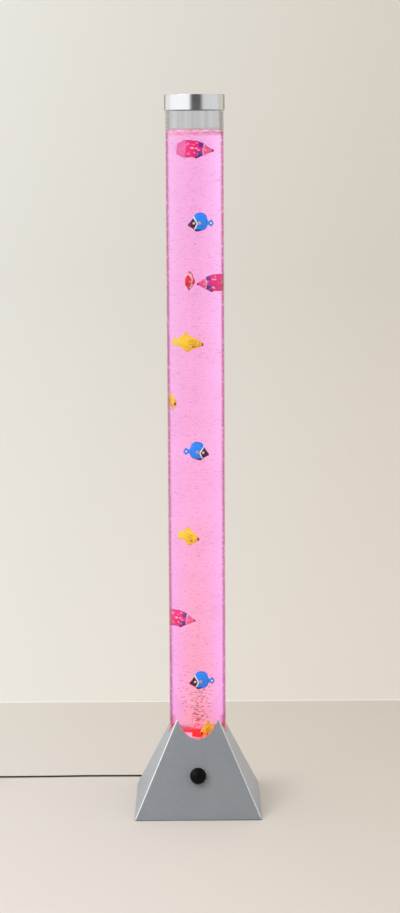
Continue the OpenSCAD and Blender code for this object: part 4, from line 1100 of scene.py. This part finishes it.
for name, (kind, *_rest) in FISH.items():
    bm = bmesh.new()
    stations = SHAPES[kind]
    loft_fish(bm, stations)
    (eye_x, eye_z, eye_r), (fin_x, fin_z, fin_long, fin_wide) = FACES[kind]
    eye_y = thickness_at(stations, eye_x, eye_z) - 0.25
    fin_y = thickness_at(stations, fin_x, fin_z) - 0.15
    for side in (1, -1):
        dome(bm, (eye_x, eye_y, eye_z), eye_r, 0.35 * eye_r + 0.1, side, 1)
        dome(bm, (eye_x + 0.1, eye_y + 0.22 * eye_r, eye_z), eye_r * 0.4, 0.26 * eye_r + 0.1,
             side, 2)
        side_fin(bm, (fin_x, fin_y, fin_z), fin_long, fin_wide, side, 3)
    fish = finished(name + "_figure", bm,
                    [fish_finish[kind], eye_white, eye_black, side_finish[kind]], name)
    fish.matrix_world = fish_place(name)
    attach(fish, name)
    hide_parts(name)
print(f"{len(FISH)} fish")

# %% [markdown]
# The room: a pale floor and a wall 0.7 m behind the lamp, joined by a cove of 2 mm, as the photo
# shows a thin line between them. The wall is seen from its front only: from behind it is clear,
# so that other views still show the lamp.

# %% Floor and wall
wall_y, cove_r, room_w, wall_h = 0.69, 0.002, 3.0, 3.2


def room_colour_and_painted_light(name, corners, axis, start, end):
    """Four screen colours: near or low left and right, then far or high left and right. The
    differences are painted light and shade.
    """
    corners = [colour(*corner) for corner in corners]
    made, tree, shader = material(name, corners[0], 0.85)
    place = own_place(tree)
    axes, fine = axes_of(place), noise(place, 30.0, 4.0)
    across = plus(span(axes[0], -0.4, 0.4), times(fine, 0.04))
    feed(shader, Base_Color=mixed(span(axes[axis], start, end), mixed(across, *corners[:2]),
                                  mixed(across, *corners[2:])))
    bumped(shader, fine, 0.05, 0.001)
    behind = add(tree, "NewGeometry", out=6)
    seen = add(tree, "MixShader", {0: behind, 1: shader.outputs[0],
                                   2: add(tree, "BsdfTransparent")})
    feed(tree.nodes["Material Output"], Surface=seen)
    return made


def strip(name, profile, half_width, finish):
    """A sheet that follows a profile of (y, z) points and is extruded along x."""
    bm = bmesh.new()
    skin(bm, [[bm.verts.new((x, y, z)) for x in (-half_width, half_width)] for y, z in profile],
         closed=False)
    made = mesh_object(name, bm, [finish])


cove = [(wall_y - cove_r + cove_r * math.sin(a), cove_r - cove_r * math.cos(a))
        for a in [math.pi / 2 * k / 8 for k in range(9)]]
# Painted light: floor and wall are lighter to the left and towards the front, the wall also lower
# down.
strip("floor", [(-6.0, 0.0), (wall_y - cove_r, 0.0)], room_w * 2,
      room_colour_and_painted_light("floor_with_painted_light", [(230, 223, 217), (222, 213, 203), (224, 218, 210),
                                 (216, 208, 197)], 1, -0.6, 0.6))
strip("wall", cove + [(wall_y, wall_h)], room_w,
      room_colour_and_painted_light("wall_with_painted_light", [(244, 243, 237), (241, 236, 228), (226, 226, 221),
                                (218, 213, 203)], 2, 0.0, 0.9))
print(f"wall {wall_y} m behind the lamp")

# %% [markdown]
# The light is that of a pale room with a window to the upper left. The world gives an even
# fill. Shiny things see a version of it with a darker strip behind the camera and a bright
# window, because a polished cap shows its room as stripes. One soft lamp makes the shadow on
# the right, and a small red one at the column's foot does what the lamps under it do.

# %% World and lamps
world = bpy.data.worlds.new("room")
bpy.context.scene.world = world
world.use_nodes = True
tree = world.node_tree
tree.nodes.clear()
ray = add(tree, "LightPath").node.outputs
axes = axes_of(add(tree, "TexCoord", out=0))
turn = math_node("ARCTAN2", axes[0], times(axes[1], -1.0))
turn = span(turn, -math.pi, math.pi)
stripes = ramp_of(turn, [(at, (value,) * 3) for at, value in (
    (0.0, 0.75), (0.14, 0.75), (0.2, 1.0), (0.44, 1.0), (0.475, 0.10), (0.56, 0.10),
    (0.6, 0.66), (0.85, 0.72), (1.0, 0.75))])


def background(tone, strength):
    return add(tree, "Background", {"Color": tone, "Strength": strength})


lit = add(tree, "MixShader", {0: ray["Is Glossy Ray"], 1: background(colour(250, 250, 250), 0.92),
                              2: background(stripes, 1.0)})
through = math_node("MAXIMUM", ray["Is Camera Ray"], ray["Is Transmission Ray"])
shown = add(tree, "MixShader", {0: through, 1: lit,
                                2: background(colour(226, 221, 213), 1.0)})
feed(tree.nodes.new("ShaderNodeOutputWorld"), Surface=shown)

window = bpy.data.lights.new("window", "AREA")
window.shape, window.size, window.energy = "DISK", 1.3, 38.0
window.color = (1.0, 1.0, 1.0)
window_lamp = placed("window", window)
window_lamp.location = (-2.2, -1.8, 2.9)
aim = Vector((0, 0, 0.5)) - window_lamp.location
window_lamp.rotation_euler = aim.to_track_quat("-Z", "Y").to_euler()
glow = bpy.data.lights.new("foot_glow", "POINT")
glow.energy, glow.color, glow.shadow_soft_size = 0.2, (1.0, 0.08, 0.16), 0.01
glow_lamp = placed("foot_glow", glow)
glow_lamp.location = (0, 0, 0.15)
glow_lamp.visible_camera = glow_lamp.visible_glossy = glow_lamp.visible_transmission = False
print(f"{len(bpy.data.lights)} lamps, world {world.name}")
